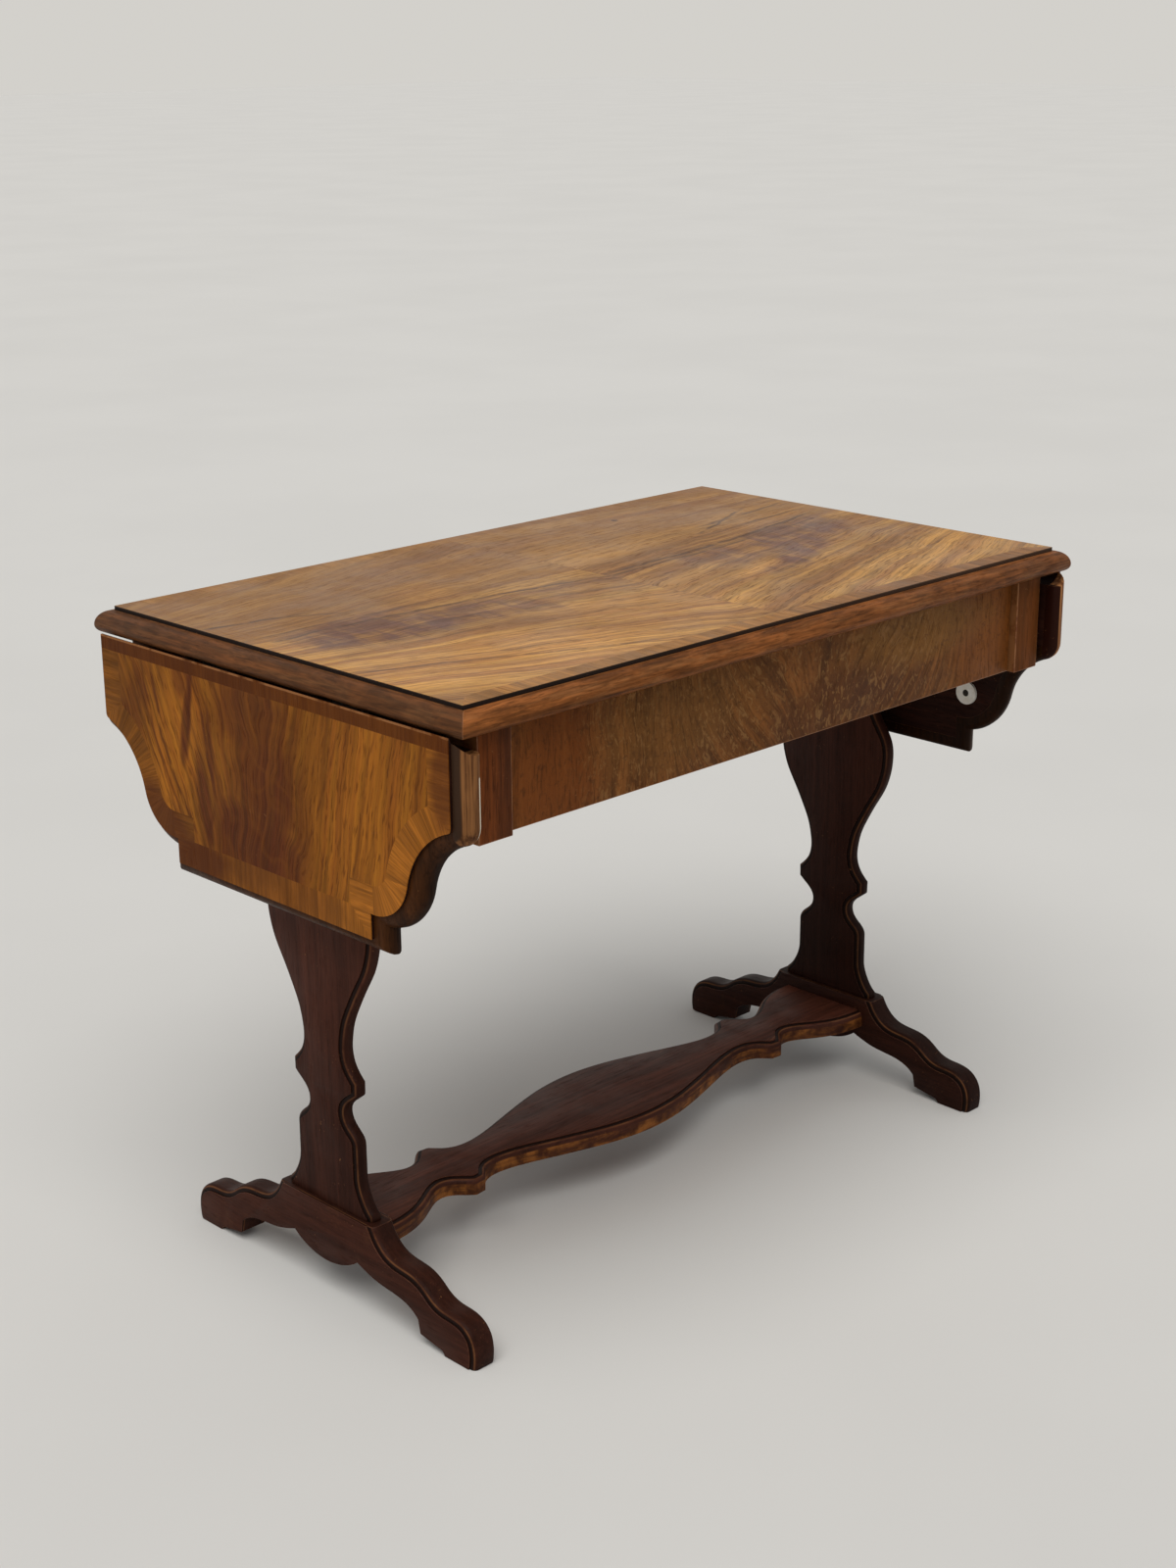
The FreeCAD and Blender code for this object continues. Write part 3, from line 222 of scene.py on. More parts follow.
def join(x, y, z=0.0):
    return added(tree_of(x, y, z), "CombineXYZ", {0: x, 1: y, 2: z})


def split(vector):
    node = vector.tree.nodes.new("ShaderNodeSeparateXYZ")
    feed(vector, node.inputs[0])
    return wires(vector.tree, node).values()


def noise(vector, scale=1.0, detail=2.0, roughness=0.5, distortion=0.0):
    inputs = {"Vector": vector, "Scale": scale, "Detail": detail, "Roughness": roughness,
              "Distortion": distortion}
    return added(vector.tree, "TexNoise", inputs, "Fac")


def swayed(value, vector, scale, detail, reach):
    """A value that wanders over a reach about itself."""
    return value + (noise(vector, scale, detail) - 0.5) * reach


def spread(value, low, high, to_low=0.0, to_high=1.0):
    """Bring a range to another one with soft ends."""
    given = dict(enumerate((value, low, high, to_low, to_high)))
    return added(value.tree, "MapRange", given, interpolation_type="SMOOTHSTEP")


def faded(value, low, high):
    """All up to low, and nothing from high on."""
    return spread(value, low, high, 1.0, 0.0)


def blend(factor, first, second, way="MIX"):
    """Mix two colours."""
    return added(tree_of(factor, first, second), "Mix", {0: factor, 6: first, 7: second}, 2,
                 data_type="RGBA", blend_type=way)


def mixed(factor, first, second):
    """Mix two numbers."""
    return added(tree_of(factor, first, second), "Mix", {0: factor, 2: first, 3: second})


def scaled(colour, share):
    return tuple(min(1.0, channel * share) for channel in colour)


def left_to_right(x, left, right):
    """One colour at the table's left end that turns into another at its right end."""
    return blend(spread(x, -0.3, 0.3), left, right)


def shaded(colour, share):
    """Multiply a colour by a share that is plain or changes from place to place."""
    grey = join(share, share, share) if isinstance(share, Wire) else (share,) * 3
    return blend(1.0, colour, grey, "MULTIPLY")


def bumped(height, strength, distance):
    inputs = {"Height": height, "Strength": strength, "Distance": distance}
    return added(height.tree, "Bump", inputs)


# Shared effects

GRAIN = ("Bands", "Lines", "Dashes")


def shared_group(name, vectors, numbers, outputs, build):
    """A shader group, made once; build turns its inputs, by name, into its outputs in order."""
    tree = bpy.data.node_groups.get(name)
    if tree is None:
        tree = bpy.data.node_groups.new(name, "ShaderNodeTree")
        for labels, way, kind in ((vectors, "INPUT", "Vector"), (numbers, "INPUT", "Float"),
                                  (outputs, "OUTPUT", "Float")):
            for label in labels:
                tree.interface.new_socket(label, in_out=way, socket_type=f"NodeSocket{kind}")
        start = tree.nodes.new("NodeGroupInput")
        end = tree.nodes.new("NodeGroupOutput")
        for value, socket in zip(build(wires(tree, start)), end.inputs):
            feed(value, socket)
    return tree


def use_group(group, **values):
    """Add a shader group; an input called Band count is given as band_count."""
    tree = tree_of(*values.values())
    node = tree.nodes.new("ShaderNodeGroup")
    node.node_tree = group
    for name, value in values.items():
        feed(value, node.inputs[name.replace("_", " ").capitalize()])
    return wires(tree, node)


def grain_group():
    """Straight grain that runs along X of its vector: bands, fine lines and pore dashes."""
    def build(given):
        vector, board = given["Vector"], given["Board"]
        sway = (noise(stretch(vector, 5, 11, 11), 1, 2) - 0.5) * 0.012 + board
        x, y, z = split(vector)
        bent = join(x + board, y + sway, z + sway)
        bands = noise(stretch(bent, 2.5, 48, 48), 1, 4, 0.55, 0.4)
        lines = noise(stretch(bent, 10, 260, 260), 1, 4, 0.62)
        dashes = noise(stretch(bent, 70, 620, 620), 1, 2)
        return spread(bands, 0.3, 0.7), spread(lines, 0.32, 0.68), spread(dashes, 0.54, 0.68)

    return shared_group("Straight grain", ("Vector",), ("Board",), GRAIN, build)


def figure_group():
    """Veneer grain drawn out along one coordinate: bands, fine lines and pore dashes."""
    def build(given):
        def drawn(along, across, *look):
            return noise(join(given["Along"] * along, given["Across"] * across,
                              given["Leaf"]), 1, *look)

        bands = drawn(given["Band length"], given["Band count"], 4, 0.55, 0.3)
        lines = drawn(7, 190, 4, 0.62, 0.2)
        dashes = drawn(62, 560, 2, 0.5, 0.2)
        return spread(bands, 0.36, 0.64), spread(lines, 0.33, 0.67), spread(dashes, 0.54, 0.66)

    numbers = ("Along", "Across", "Leaf", "Band length", "Band count")
    return shared_group("Veneer grain", (), numbers, GRAIN, build)


def figured(along, across, leaf, length, count):
    """Place veneer grain; length and count set how long and how many its bands are."""
    return use_group(figure_group(), along=along, across=across, leaf=leaf, band_length=length,
                     band_count=count)


def polish_group():
    """Old polish: smudges that dull it, fine scratches and a soft unevenness."""
    def build(given):
        vector = given["Vector"]
        x, y, z = split(vector)
        turned = join(y * 0.35 + x, y - x * 0.35, z)
        lines = spread(noise(stretch(turned, 14, 620, 620), 1, 2, 0.5, 0.2), 0.69, 0.74)
        places = noise(vector, 34, 2)
        nicks = spread(noise(vector, 260, 2), 0.73, 0.76)
        scratches = larger(lines * spread(places, 0.5, 0.62),
                           nicks * spread(places, 0.46, 0.6)) * given["Wear"]
        smudges = spread(noise(vector, 16, 4, 0.6), 0.32, 0.7)
        return smudges, scratches, noise(vector, 120, 2, 0.4) - scratches * 0.6

    return shared_group("Old polish", ("Vector",), ("Wear",),
                        ("Smudges", "Scratches", "Height"), build)


def patch_group():
    """A soft oval patch with a ragged edge, turned in its plane."""
    def build(given):
        x, y, _ = split(vector_maths("SUBTRACT", given["Vector"], given["Centre"]))
        cosine, sine = maths("COSINE", given["Turn"]), maths("SINE", given["Turn"])
        along = (x * cosine + y * sine) / given["Length"]
        across = (y * cosine - x * sine) / given["Width"]
        reach = maths("SQRT", along * along + across * across)
        ragged = noise(given["Vector"], 26, 4, 0.62, 0.6) - 0.5
        return (faded(ragged * given["Ragged"] + reach, 0.5, 1.3),)

    return shared_group("Soft patch", ("Vector", "Centre"),
                        ("Length", "Width", "Turn", "Ragged"), ("Mask",), build)


def vein_group():
    """A dark hairline along a shallow curve, broken up and fading at both ends."""
    def build(given):
        vector = given["Vector"]
        x, y, _ = split(vector)
        run = x - given["First"]
        middle = run * given["Slope"] + given["Level"] + run * run * given["Bend"]
        middle = swayed(middle, vector, 22, 3, 0.012)
        line = faded(abs(y - middle) / given["Width"], 0.15, 1.0)
        ends = spread(run, 0.0, 0.02) * spread(given["Last"] - x, 0.0, 0.04)
        return (line * ends * spread(noise(vector, 50, 3), 0.3, 0.52),)

    return shared_group("Dark vein", ("Vector",),
                        ("First", "Last", "Level", "Slope", "Bend", "Width"), ("Mask",), build)


def patches(vector, rows):
    """The darkest of several patches; rows are (strength, x, y, length, width, turn, ragged)."""
    mask = 0.0
    for strength, x, y, length, width, turn, ragged in rows:
        spot = use_group(patch_group(), vector=vector, centre=(x, y, 0), length=length,
                         width=width, turn=turn, ragged=ragged)["Mask"]
        mask = larger(mask, spot * strength)
    return mask


def veins(vector, rows):
    """Several hairlines; rows are (strength, from x, to x, y there, slope, bend, width)."""
    mask = 0.0
    for strength, first, last, level, slope, bend, width in rows:
        line = use_group(vein_group(), vector=vector, first=first, last=last, level=level,
                         slope=slope, bend=bend, width=width)["Mask"]
        mask = larger(mask, line * strength)
    return mask


# Woods

DULL = 0.12
DIRT_AND_SHADE_BLACK = (0.014, 0.008, 0.006)


def shared_material(name, build):
    """A material, made once; build turns the place on the piece into the shader's inputs."""
    material = bpy.data.materials.get(name)
    if material is None:
        material = bpy.data.materials.new(name)
        material.use_nodes = True
        tree = material.node_tree
        tree.nodes.clear()
        shader = tree.nodes.new("ShaderNodeBsdfPrincipled")
        output = tree.nodes.new("ShaderNodeOutputMaterial")
        tree.links.new(shader.outputs[0], output.inputs[0])
        for label, value in build(added(tree, "TexCoord", {}, "Object")).items():
            feed(value, shader.inputs[label])
    return material


def polished(vector, tone, grain, rough=0.36, gloss=None):
    """The shader's inputs for all the woods: colour, polish and fine relief."""
    skin = finish()
    marks = use_group(polish_group(), vector=vector, wear=skin.wear)
    relief = marks["Height"] - grain["Dashes"] * 0.8 + grain["Lines"] * 0.35
    return {"Base Color": blend(marks["Scratches"] * 0.45, tone, scaled(skin.bare, 1.2)),
            "Roughness": marks["Smudges"] * 0.16 + rough + grain["Dashes"] * 0.12,
            "Normal": bumped(relief, 0.22, 0.0003),
            "Specular IOR Level": skin.gloss if gloss is None else gloss}


def wood(name, base, axis, contrast=0.5, rough=0.38, gloss=None, mottle=0.0, worn=0.0, board=0.0,
         pore_depth=0.55, wear=None):
    """A material with straight grain along one axis; wear may alter its tone at the end, also with
    painted light and shade.
    """
    def build(vector):
        x, y, z = split(vector)
        along = join(*{"x": (x, y, z), "y": (y, x, z), "z": (z, x, y)}[axis])
        grain = use_group(grain_group(), vector=along, board=board)
        tone = blend(grain["Bands"], scaled(base, 1 - contrast * 0.55),
                     scaled(base, 1 + contrast * 0.55))
        tone = shaded(tone, mixed(grain["Lines"], 1 - contrast * 0.5, 1 + contrast * 0.45))
        tone = blend(grain["Dashes"] * pore_depth, tone, scaled(base, 0.35))
        if mottle:
            spots = spread(noise(vector, 30, 4, 0.62, 0.8), 0.42, 0.66)
            tone = blend(spots * mottle, tone, scaled(base, 1.75))
        if worn:
            rubbed = spread(noise(vector, 55, 5, 0.7, 0.4), 0.56, 0.7)
            tone = blend(rubbed * worn, tone, finish().bare)
        if wear is not None:
            tone = wear(vector, tone)
        return polished(vector, tone, grain, rough, gloss)

    return shared_material(name, build)


def veneer_tone(grain, light, brown, figure, dark):
    """Light to brown by the bands, darkened by the figure, the lines and the pore dashes."""
    tone = blend(grain["Bands"], brown, light)
    tone = blend(dark, tone, figure)
    tone = shaded(tone, mixed(grain["Lines"], 0.7, 1.24))
    return blend(grain["Dashes"] * 0.55, tone, scaled(figure, 0.7))


def top_grain(x, y):
    """The top's grain: two matched leaves whose streaks fan out from the middle seam."""
    right = x > 0.0
    out = abs(x)
    place = join(out, y, right)
    across = swayed(y - mixed(right, 0.03, 0.15), place, 5.5, 2, 0.032)
    across = across * maths("EXPONENT", out * mixed(right, 2.0, 1.2))
    across = swayed(across, place, 24, 2, 0.01)
    return figured(out, across, right * 0.35, 2.2, 38.0)


def top_tone(x, y, grain):
    """The faded veneer's tone, with its purple-brown hearts and dark veins."""
    skin = finish()
    flat = join(x, y)
    dark = patches(flat, (
        (0.98, -0.235, -0.004, 0.08, 0.05, -0.1, 0.9),
        (0.75, -0.155, -0.018, 0.064, 0.036, -0.15, 0.9),
        (0.6, -0.108, -0.03, 0.014, 0.036, 0.0, 0.8),
        (0.34, 0.0, -0.01, 0.13, 0.026, 0.0, 1.2),
        (0.9, 0.235, -0.002, 0.088, 0.04, 0.22, 0.9),
        (0.88, 0.185, -0.055, 0.105, 0.02, 0.5, 0.9),
        (0.6, 0.118, -0.014, 0.045, 0.038, 0.0, 1.1),
        (0.3, -0.06, 0.14, 0.18, 0.05, 0.0, 1.4),
        (0.3, 0.17, 0.13, 0.17, 0.05, 0.0, 1.4)))
    wrinkles = spread(noise(join(x * 58, y * 15), 1, 3, 0.6, 0.7), 0.34, 0.62, 0.45, 1.12)
    dark = maths("MULTIPLY", dark * wrinkles, mixed(grain["Bands"], 1.15, 0.85), clamp=True)
    glow = patches(flat, (
        (1.0, -0.24, -0.138, 0.185, 0.075, -0.34, 0.8),
        (0.8, -0.335, -0.02, 0.03, 0.06, 0.0, 0.8),
        (0.55, -0.06, -0.12, 0.09, 0.06, -0.3, 0.9),
        (0.55, 0.105, -0.078, 0.05, 0.014, 0.5, 0.9),
        (0.5, -0.142, 0.062, 0.028, 0.036, 0.0, 0.9),
        (0.42, 0.035, 0.085, 0.05, 0.034, 0.0, 1.0),
        (0.45, 0.25, -0.15, 0.14, 0.045, 0.28, 1.0)))
    light = blend(glow, scaled(skin.top_light, 0.78), scaled(skin.top_light, 1.07))
    brown = blend(glow, skin.top_brown, scaled(skin.top_brown, 1.55))
    tone = veneer_tone(grain, light, brown, skin.top_figure, dark)
    far_side_calm = spread(y, -0.02, 0.1, 0.0, 0.48)
    tone = blend(far_side_calm, tone, (0.205, 0.091, 0.031))
    lines = veins(flat, (
        (0.8, -0.01, 0.33, 0.004, 0.01, 0.36, 0.0034),
        (0.7, -0.01, 0.17, -0.006, 0.05, 0.1, 0.0026),
        (0.6, 0.12, 0.33, 0.0, 0.11, 0.2, 0.0028),
        (0.75, -0.335, -0.01, 0.022, 0.027, -0.31, 0.0032),
        (0.8, -0.35, -0.24, 0.09, -0.12, -0.4, 0.004),
        (0.6, -0.29, -0.2, 0.082, -0.3, -2.2, 0.0026),
        (0.8, 0.165, 0.3, 0.053, 0.36, 0.4, 0.0032),
        (0.7, 0.19, 0.35, 0.074, 0.14, 0.0, 0.0034),
        (0.6, 0.21, 0.35, 0.052, 0.1, 0.0, 0.0024),
        (0.55, -0.33, -0.15, 0.04, -0.02, -0.1, 0.0022),
        (0.5, -0.25, -0.13, -0.016, -0.05, -0.3, 0.0022),
        (0.65, -0.345, -0.095, -0.086, -0.41, 0.0, 0.0034),
        (0.5, -0.345, -0.06, -0.078, -0.3, -0.1, 0.0026),
        (0.45, 0.1, 0.34, -0.17, 0.26, 0.1, 0.0026),
        (0.4, 0.16, 0.345, -0.13, 0.22, 0.2, 0.0024)))
    nick = patches(flat, ((0.9, 0.163, 0.15, 0.0045, 0.0035, 0.7, 0.6),))
    return blend(larger(lines, nick), tone, (0.07, 0.031, 0.016))


def top_field_material():
    """Two matched leaves of figured veneer, mirrored about the middle of the top."""
    seam_half_width = 0.0005

    def build(vector):
        x, y, _ = split(vector)
        grain = top_grain(x, y)
        seam = (abs(x) < seam_half_width) * 0.4
        tone = blend(seam, top_tone(x, y, grain), finish().top_figure)
        return polished(vector, tone, grain, 0.34, 0.16)

    return shared_material("Figured veneer top", build)


def leaf_tone(width, height):
    """The leaf's veneer: light grain that fans up from a dark heart in the middle."""
    skin = finish()
    flat = join(width, height)
    place = join(width, height, 0.3)
    heart = patches(flat, (
        (1.0, 0.014, -0.052, 0.066, 0.046, 0.0, 0.8),
        (0.95, -0.002, 0.0, 0.044, 0.05, 0.15, 0.8),
        (0.8, 0.012, 0.05, 0.05, 0.04, 0.0, 1.0)))
    across = width - height * spread(width, -0.03, 0.12, -0.2, 0.42)
    across = swayed(across, place, 10, 2, mixed(heart, 0.01, 0.075))
    across = swayed(across, place, 34, 3, 0.006)
    grain = figured(height, across, 0.0, 2.6, 88.0)
    bands = grain["Bands"]
    dark = patches(flat, (
        (0.95, 0.076, -0.03, 0.008, 0.04, -0.18, 0.8),
        (0.9, 0.095, 0.036, 0.006, 0.05, 0.2, 0.6),
        (0.7, 0.1, 0.066, 0.012, 0.022, 0.1, 0.8),
        (0.6, 0.066, 0.01, 0.003, 0.05, -0.04, 0.6),
        (0.7, 0.13, -0.075, 0.06, 0.014, 0.35, 0.9),
        (0.5, 0.172, 0.01, 0.016, 0.07, 0.4, 1.0)))
    dark = maths("MULTIPLY", dark, mixed(bands, 1.1, 0.84), clamp=True)
    dark = larger(dark, heart * mixed(bands, 0.96, 0.8))
    glow = patches(flat, (
        (1.0, 0.112, 0.01, 0.03, 0.08, 0.36, 0.8),
        (0.9, -0.115, 0.01, 0.055, 0.09, 0.16, 0.8)))
    light = blend(glow, scaled(skin.leaf_light, 0.74), scaled(skin.leaf_light, 1.04))
    brown = blend(glow, skin.leaf_brown, scaled(skin.leaf_brown, 1.55))
    tone = veneer_tone(grain, light, brown, skin.leaf_figure, dark)
    contour = maths("FRACT", noise(place, 13, 2, 0.4) * 11.0)
    contour = faded(abs(contour - 0.5), 0.0, 0.24) * heart * 0.2
    tone = blend(contour, tone, scaled(skin.leaf_brown, 1.1))
    lines = veins(join(height, width), (
        (0.75, -0.07, 0.085, 0.078, 0.86, -3.2, 0.003),
        (0.6, -0.066, 0.085, 0.09, 0.84, -3.0, 0.0024),
        (0.5, -0.06, 0.085, 0.104, 0.8, -2.8, 0.0022),
        (0.7, -0.002, 0.09, 0.098, -0.15, 0.0, 0.0036),
        (0.75, -0.026, 0.08, 0.062, 0.21, 0.0, 0.003),
        (0.7, -0.064, -0.016, 0.08, -0.42, 0.0, 0.0034),
        (0.45, -0.04, 0.085, -0.046, -0.36, -0.6, 0.0024),
        (0.4, -0.06, 0.085, -0.094, -0.22, -0.4, 0.002)))
    return blend(lines, tone, scaled(skin.leaf_figure, 0.8)), grain


def leaf_width(y, side):
    """The place across a leaf, the same way round on both leaves."""
    return y * (1.0 if side == "left" else -1.0)


def leaf_field_material(side):
    """Figured veneer that fans out from a dark heart in the middle of the leaf."""
    middle_height = 0.43

    def build(vector):
        _, y, z = split(vector)
        tone, grain = leaf_tone(leaf_width(y, side), z - middle_height)
        return polished(vector, tone, grain)

    return shared_material(f"Figured veneer leaf {side}", build)


def band_tone(vector, along, across, base, contrast=1.0):
    """Short strokes of grain across a strip of crossbanding."""
    grain = figured(across, along * 1.9, 0.6, 10.0, 55.0)
    tone = blend(grain["Bands"], scaled(base, 1 - 0.26 * contrast),
                 scaled(base, 1 + 0.24 * contrast))
    tone = shaded(tone, mixed(grain["Lines"], 1 - 0.26 * contrast, 1 + 0.22 * contrast))
    blotches = spread(noise(vector, 13, 3, 0.6), 0.44, 0.64)
    tone = blend(blotches * (0.45 * contrast), tone, scaled(base, 0.48))
    return blend(grain["Dashes"] * 0.4, tone, scaled(base, 0.4)), grain


def top_band_material():
    """Crossbanding whose grain runs across each strip, mitred at the corners."""
    mid_grey = (0.5, 0.5, 0.5)
    face_depth = 0.00003
    _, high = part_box("top_crossbanding")

    def build(vector):
        x, y, z = split(vector)
        golden_to_brown = blend(spread(x, -0.1, 0.15), (0.35, 0.153, 0.035), (0.262, 0.113, 0.034))
        strokes, grain = band_tone(vector, x, y, mid_grey, 0.85)
        strokes = blend(1.0, shaded(strokes, 2.0), golden_to_brown, "MULTIPLY")
        at_end = (high.x - abs(x)) < (high.y - abs(y))
        field = top_tone(x, y, top_grain(x, y))
        tone = blend(larger(at_end, (y > 0.0) * 0.6), strokes, field)
        # Dirt and painted shade on the crossbanding's edge below its face, darker at the left.
        stain = left_to_right(x, (0.02, 0.01, 0.006), (0.07, 0.034, 0.018))
        tone = blend(z < high.z - face_depth, tone, stain)
        return polished(vector, tone, grain, 0.35, 0.16)

    return shared_material("Crossbanding top", build)


def leaf_band_material(side):
    """Crossbanding that turns with the leaf's outline, mitred where the outline breaks."""
    low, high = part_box(f"leaf_crossbanding_{side}")
    hollow_drop, hollow_out = 0.133, 0.02
    rounding_drop, rounding_in = 0.11, 0.0845
    turn_drop = 0.117
    shoulder_drop, shoulder_slope = 0.0665, 0.64
    mitre_in = 0.088
    hinge_strip, worn_strip = 0.011, 0.0013

    def build(vector):
        _, y, z = split(vector)
        out = abs(y)
        hollow = maths("ARCTAN2", z - (high.z - hollow_drop), (high.y + hollow_out) - out)
        rounding = maths("ARCTAN2", z - (high.z - rounding_drop), out - (high.y - rounding_in))
        curved = mixed(z < high.z - turn_drop, hollow * 0.08, rounding * 0.03)
        tail = out < high.y - rounding_in
        mitre = (z - low.z) < (high.y - mitre_in) - out
        shoulder = z > (high.z - shoulder_drop) - (out - high.y) * shoulder_slope
        hinge = z > high.z - hinge_strip
        level = larger(mitre, hinge)
        along = mixed(level, mixed(larger(tail, shoulder), curved, z), y)
        across = mixed(level, out, z)
        tone, grain = band_tone(vector, along, across, finish().band)
        width = leaf_width(y, side)
        tone = shaded(tone, spread(width, -0.12, 0.1, 1.55, 0.92))
        stains = patches(join(width, z - (high.z - 0.08)), (
            (0.7, 0.135, -0.058, 0.055, 0.026, 0.5, 0.9),
            (0.8, 0.088, -0.078, 0.045, 0.02, 0.0, 0.9),
            (0.7, -0.198, 0.045, 0.016, 0.04, 0.0, 0.9),
            (0.35, -0.01, -0.075, 0.07, 0.03, 0.0, 1.0)))
        tone = blend(stains, tone, scaled(finish().leaf_figure, 0.85))
        tone = blend(hinge * 0.8, tone, (0.074, 0.0145, 0.0008))
        worn = (high.z - z < worn_strip) * spread(noise(vector, 60, 4), 0.34, 0.52)
        tone = blend(worn * 0.75, tone, scaled(finish().bare, 1.1))
        return polished(vector, tone, grain, 0.38)

    return shared_material(f"Crossbanding leaf {side}", build)


def drawer_front_material():
    """Mottled veneer with upright grain, a feathered middle and light flecks."""
    low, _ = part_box("drawer_front")
    feather_x = 0.045

    def build(vector):
        x, _, z = split(vector)
        height = z - low.z
        middle = x - feather_x
        feathered = height * faded(abs(middle), 0.06, 0.2)
        across = swayed(middle * maths("EXPONENT", feathered * -13.0), vector, 22, 3, 0.012)
        grain = figured(height, across, 0.2, 7.0, 60.0)
        base = finish().drawer
        tone = blend(grain["Bands"], scaled(base, 0.74), scaled(base, 1.2))
        tone = shaded(tone, mixed(grain["Lines"], 0.68, 1.26))
        for colour, row in (
                ((0.165, 0.041, 0.005), (0.75, -0.25, 0.035, 0.05, 0.07, 0.0, 0.8)),
                ((0.215, 0.062, 0.01), (0.5, 0.262, 0.04, 0.05, 0.08, 0.0, 0.8)),
                ((0.23, 0.102, 0.02), (0.6, 0.165, 0.058, 0.09, 0.028, 0.0, 1.0)),
                ((0.165, 0.07, 0.015), (0.5, -0.12, 0.045, 0.09, 0.04, 0.0, 1.2)),
                ((0.062, 0.018, 0.0045), (0.6, 0.05, 0.018, 0.085, 0.026, 0.2, 1.0)),
                ((0.062, 0.018, 0.0045), (0.5, 0.135, 0.014, 0.05, 0.018, 0.0, 1.0))):
            tone = blend(patches(join(x, height), (row,)), tone, colour)
        fine = noise(join(x * 330, z * 150), 1, 2, 0.6, 0.7)
        large = noise(join(across * 150, z * 70, 4.0), 1, 3, 0.6, 0.8)
        flecks = larger(spread(fine, 0.55, 0.66), spread(large, 0.57, 0.66))
        thickness = spread(noise(vector, 14, 3), 0.3, 0.6, 0.35, 1.0)
        flecks = flecks * faded(abs(x), 0.17, 0.26) * thickness
        tone = blend(flecks * 0.68, tone, (0.27, 0.128, 0.04))
        darker = spread(noise(join(x * 240, z * 200, 9.0), 1, 3, 0.65, 0.8), 0.52, 0.66)
        tone = blend(darker * 0.45, tone, scaled(base, 0.35))
        tone = blend(grain["Dashes"] * 0.42, tone, scaled(base, 0.3))
        return polished(vector, tone, grain, 0.44, 0.09)

    return shared_material("Mottled drawer front", build)


# Worn edges, dirt, painted shade and painted highlights; each alters a wood's tone at the place on
# the piece

def dirty_shaded_edge(vector, tone):
    """The panel's edge over the mouldings is near black: dirt and painted shade."""
    edge_depth = 0.0045
    x, _, z = split(vector)
    _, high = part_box("top_panel")
    # Dirt and painted shade: near black at the left, dark brown at the right.
    stain = left_to_right(x, DIRT_AND_SHADE_BLACK, (0.05, 0.026, 0.015))
    return blend(z > high.z - edge_depth, tone, stain)


def moulding_wear_and_painted_light(vector, tone):
    """Dirt and painted shade in the quirk beside the panel; polish rubbed off along the nose."""
    quirk_bottom, quirk_top, quirk_crest = 0.0003, 0.0014, 0.0016
    nose_start, nose_full, underside = 0.0045, 0.0095, 0.0196
    bare = finish().bare
    x, y, z = split(vector)
    _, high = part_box("top_panel")
    out_x, out_y = abs(x) - high.x, abs(y) - high.y
    out = larger(out_x, out_y)
    rubbed = spread(noise(stretch(vector, 16, 16, 120), 1, 5, 0.68, 0.6), 0.46, 0.64)
    nose = spread(out, nose_start, nose_full) * rubbed
    tone = blend(nose * 0.5, tone, scaled(bare, 0.72))
    streaks = noise(stretch(vector, 30, 30, 420), 1, 4, 0.65, 0.5)
    tone = shaded(tone, spread(streaks, 0.34, 0.66, 0.62, 1.3))
    # Painted sheen: the end mouldings are greyed.
    tone = blend((out_x > out_y) * 0.45, tone, (0.047, 0.029, 0.019))
    # A pale line along the crest: worn wood and a painted highlight.
    crest = faded(abs(out - quirk_crest), 0.0002, 0.0008)
    crest = crest * spread(noise(vector, 70, 4, 0.6), 0.4, 0.6)
    tone = blend(crest * 0.45, tone, scaled(bare, 0.9))
    # Painted shade: the moulding's underside is darkened.
    tone = blend((z < high.z - underside) * 0.6, tone, (0.03, 0.012, 0.007))
    # Dust and painted shade in the quirk: near black at the left, dark brown at the right.
    dust_and_shade = blend(spread(x, -0.2, 0.3), DIRT_AND_SHADE_BLACK, (0.1, 0.058, 0.04))
    return blend(faded(out, quirk_bottom, quirk_top) * 0.8, tone, dust_and_shade)


def moulded_edge(vector, tone, down, crest):
    """Dirt and painted shade in a worked edge's quirk, a painted highlight of worn wood along its
    crest; down is the depth below the face.
    """
    step = 0.0015
    tone = shaded(tone, spread(down, step + 0.0005, step + 0.0022, 1.0, 0.62))
    # Painted highlight of worn wood along the crest.
    crest_highlight_and_wear = faded(abs(down - (step + 0.0007)), 0.0001, 0.0006)
    crest_highlight_and_wear = crest_highlight_and_wear * spread(noise(vector, 45, 4, 0.6), 0.3, 0.62)
    tone = blend(crest_highlight_and_wear * crest, tone, scaled(finish().bare, 0.7))
    # Dirt and painted shade in the quirk.
    dirt = faded(abs(down - (step - 0.0002)), 0.0003, 0.0005)
    return blend(dirt * 0.9, tone, (0.008, 0.004, 0.003))


def upright_edge(node, crest, low_share=1.0, high_share=1.0):
    """An upright board worked on both faces: shaded by height, painted shade on the right-hand
    board and the wear of its worked edges.
    """
    right_board_shade = 0.54
    low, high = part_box(node)
    middle = (abs(low.x) + abs(high.x)) / 2
    half = (high.x - low.x) / 2

    def wear(vector, tone):
        x, _, z = split(vector)
        tone = shaded(tone, spread(z, 0.1, 0.36, low_share, high_share))
        # Painted shade: the board at the right is darker.
        tone = shaded(tone, mixed(x > 0.0, 1.0, right_board_shade))
        return moulded_edge(vector, tone, half - abs(abs(x) - middle), crest)

    return wear


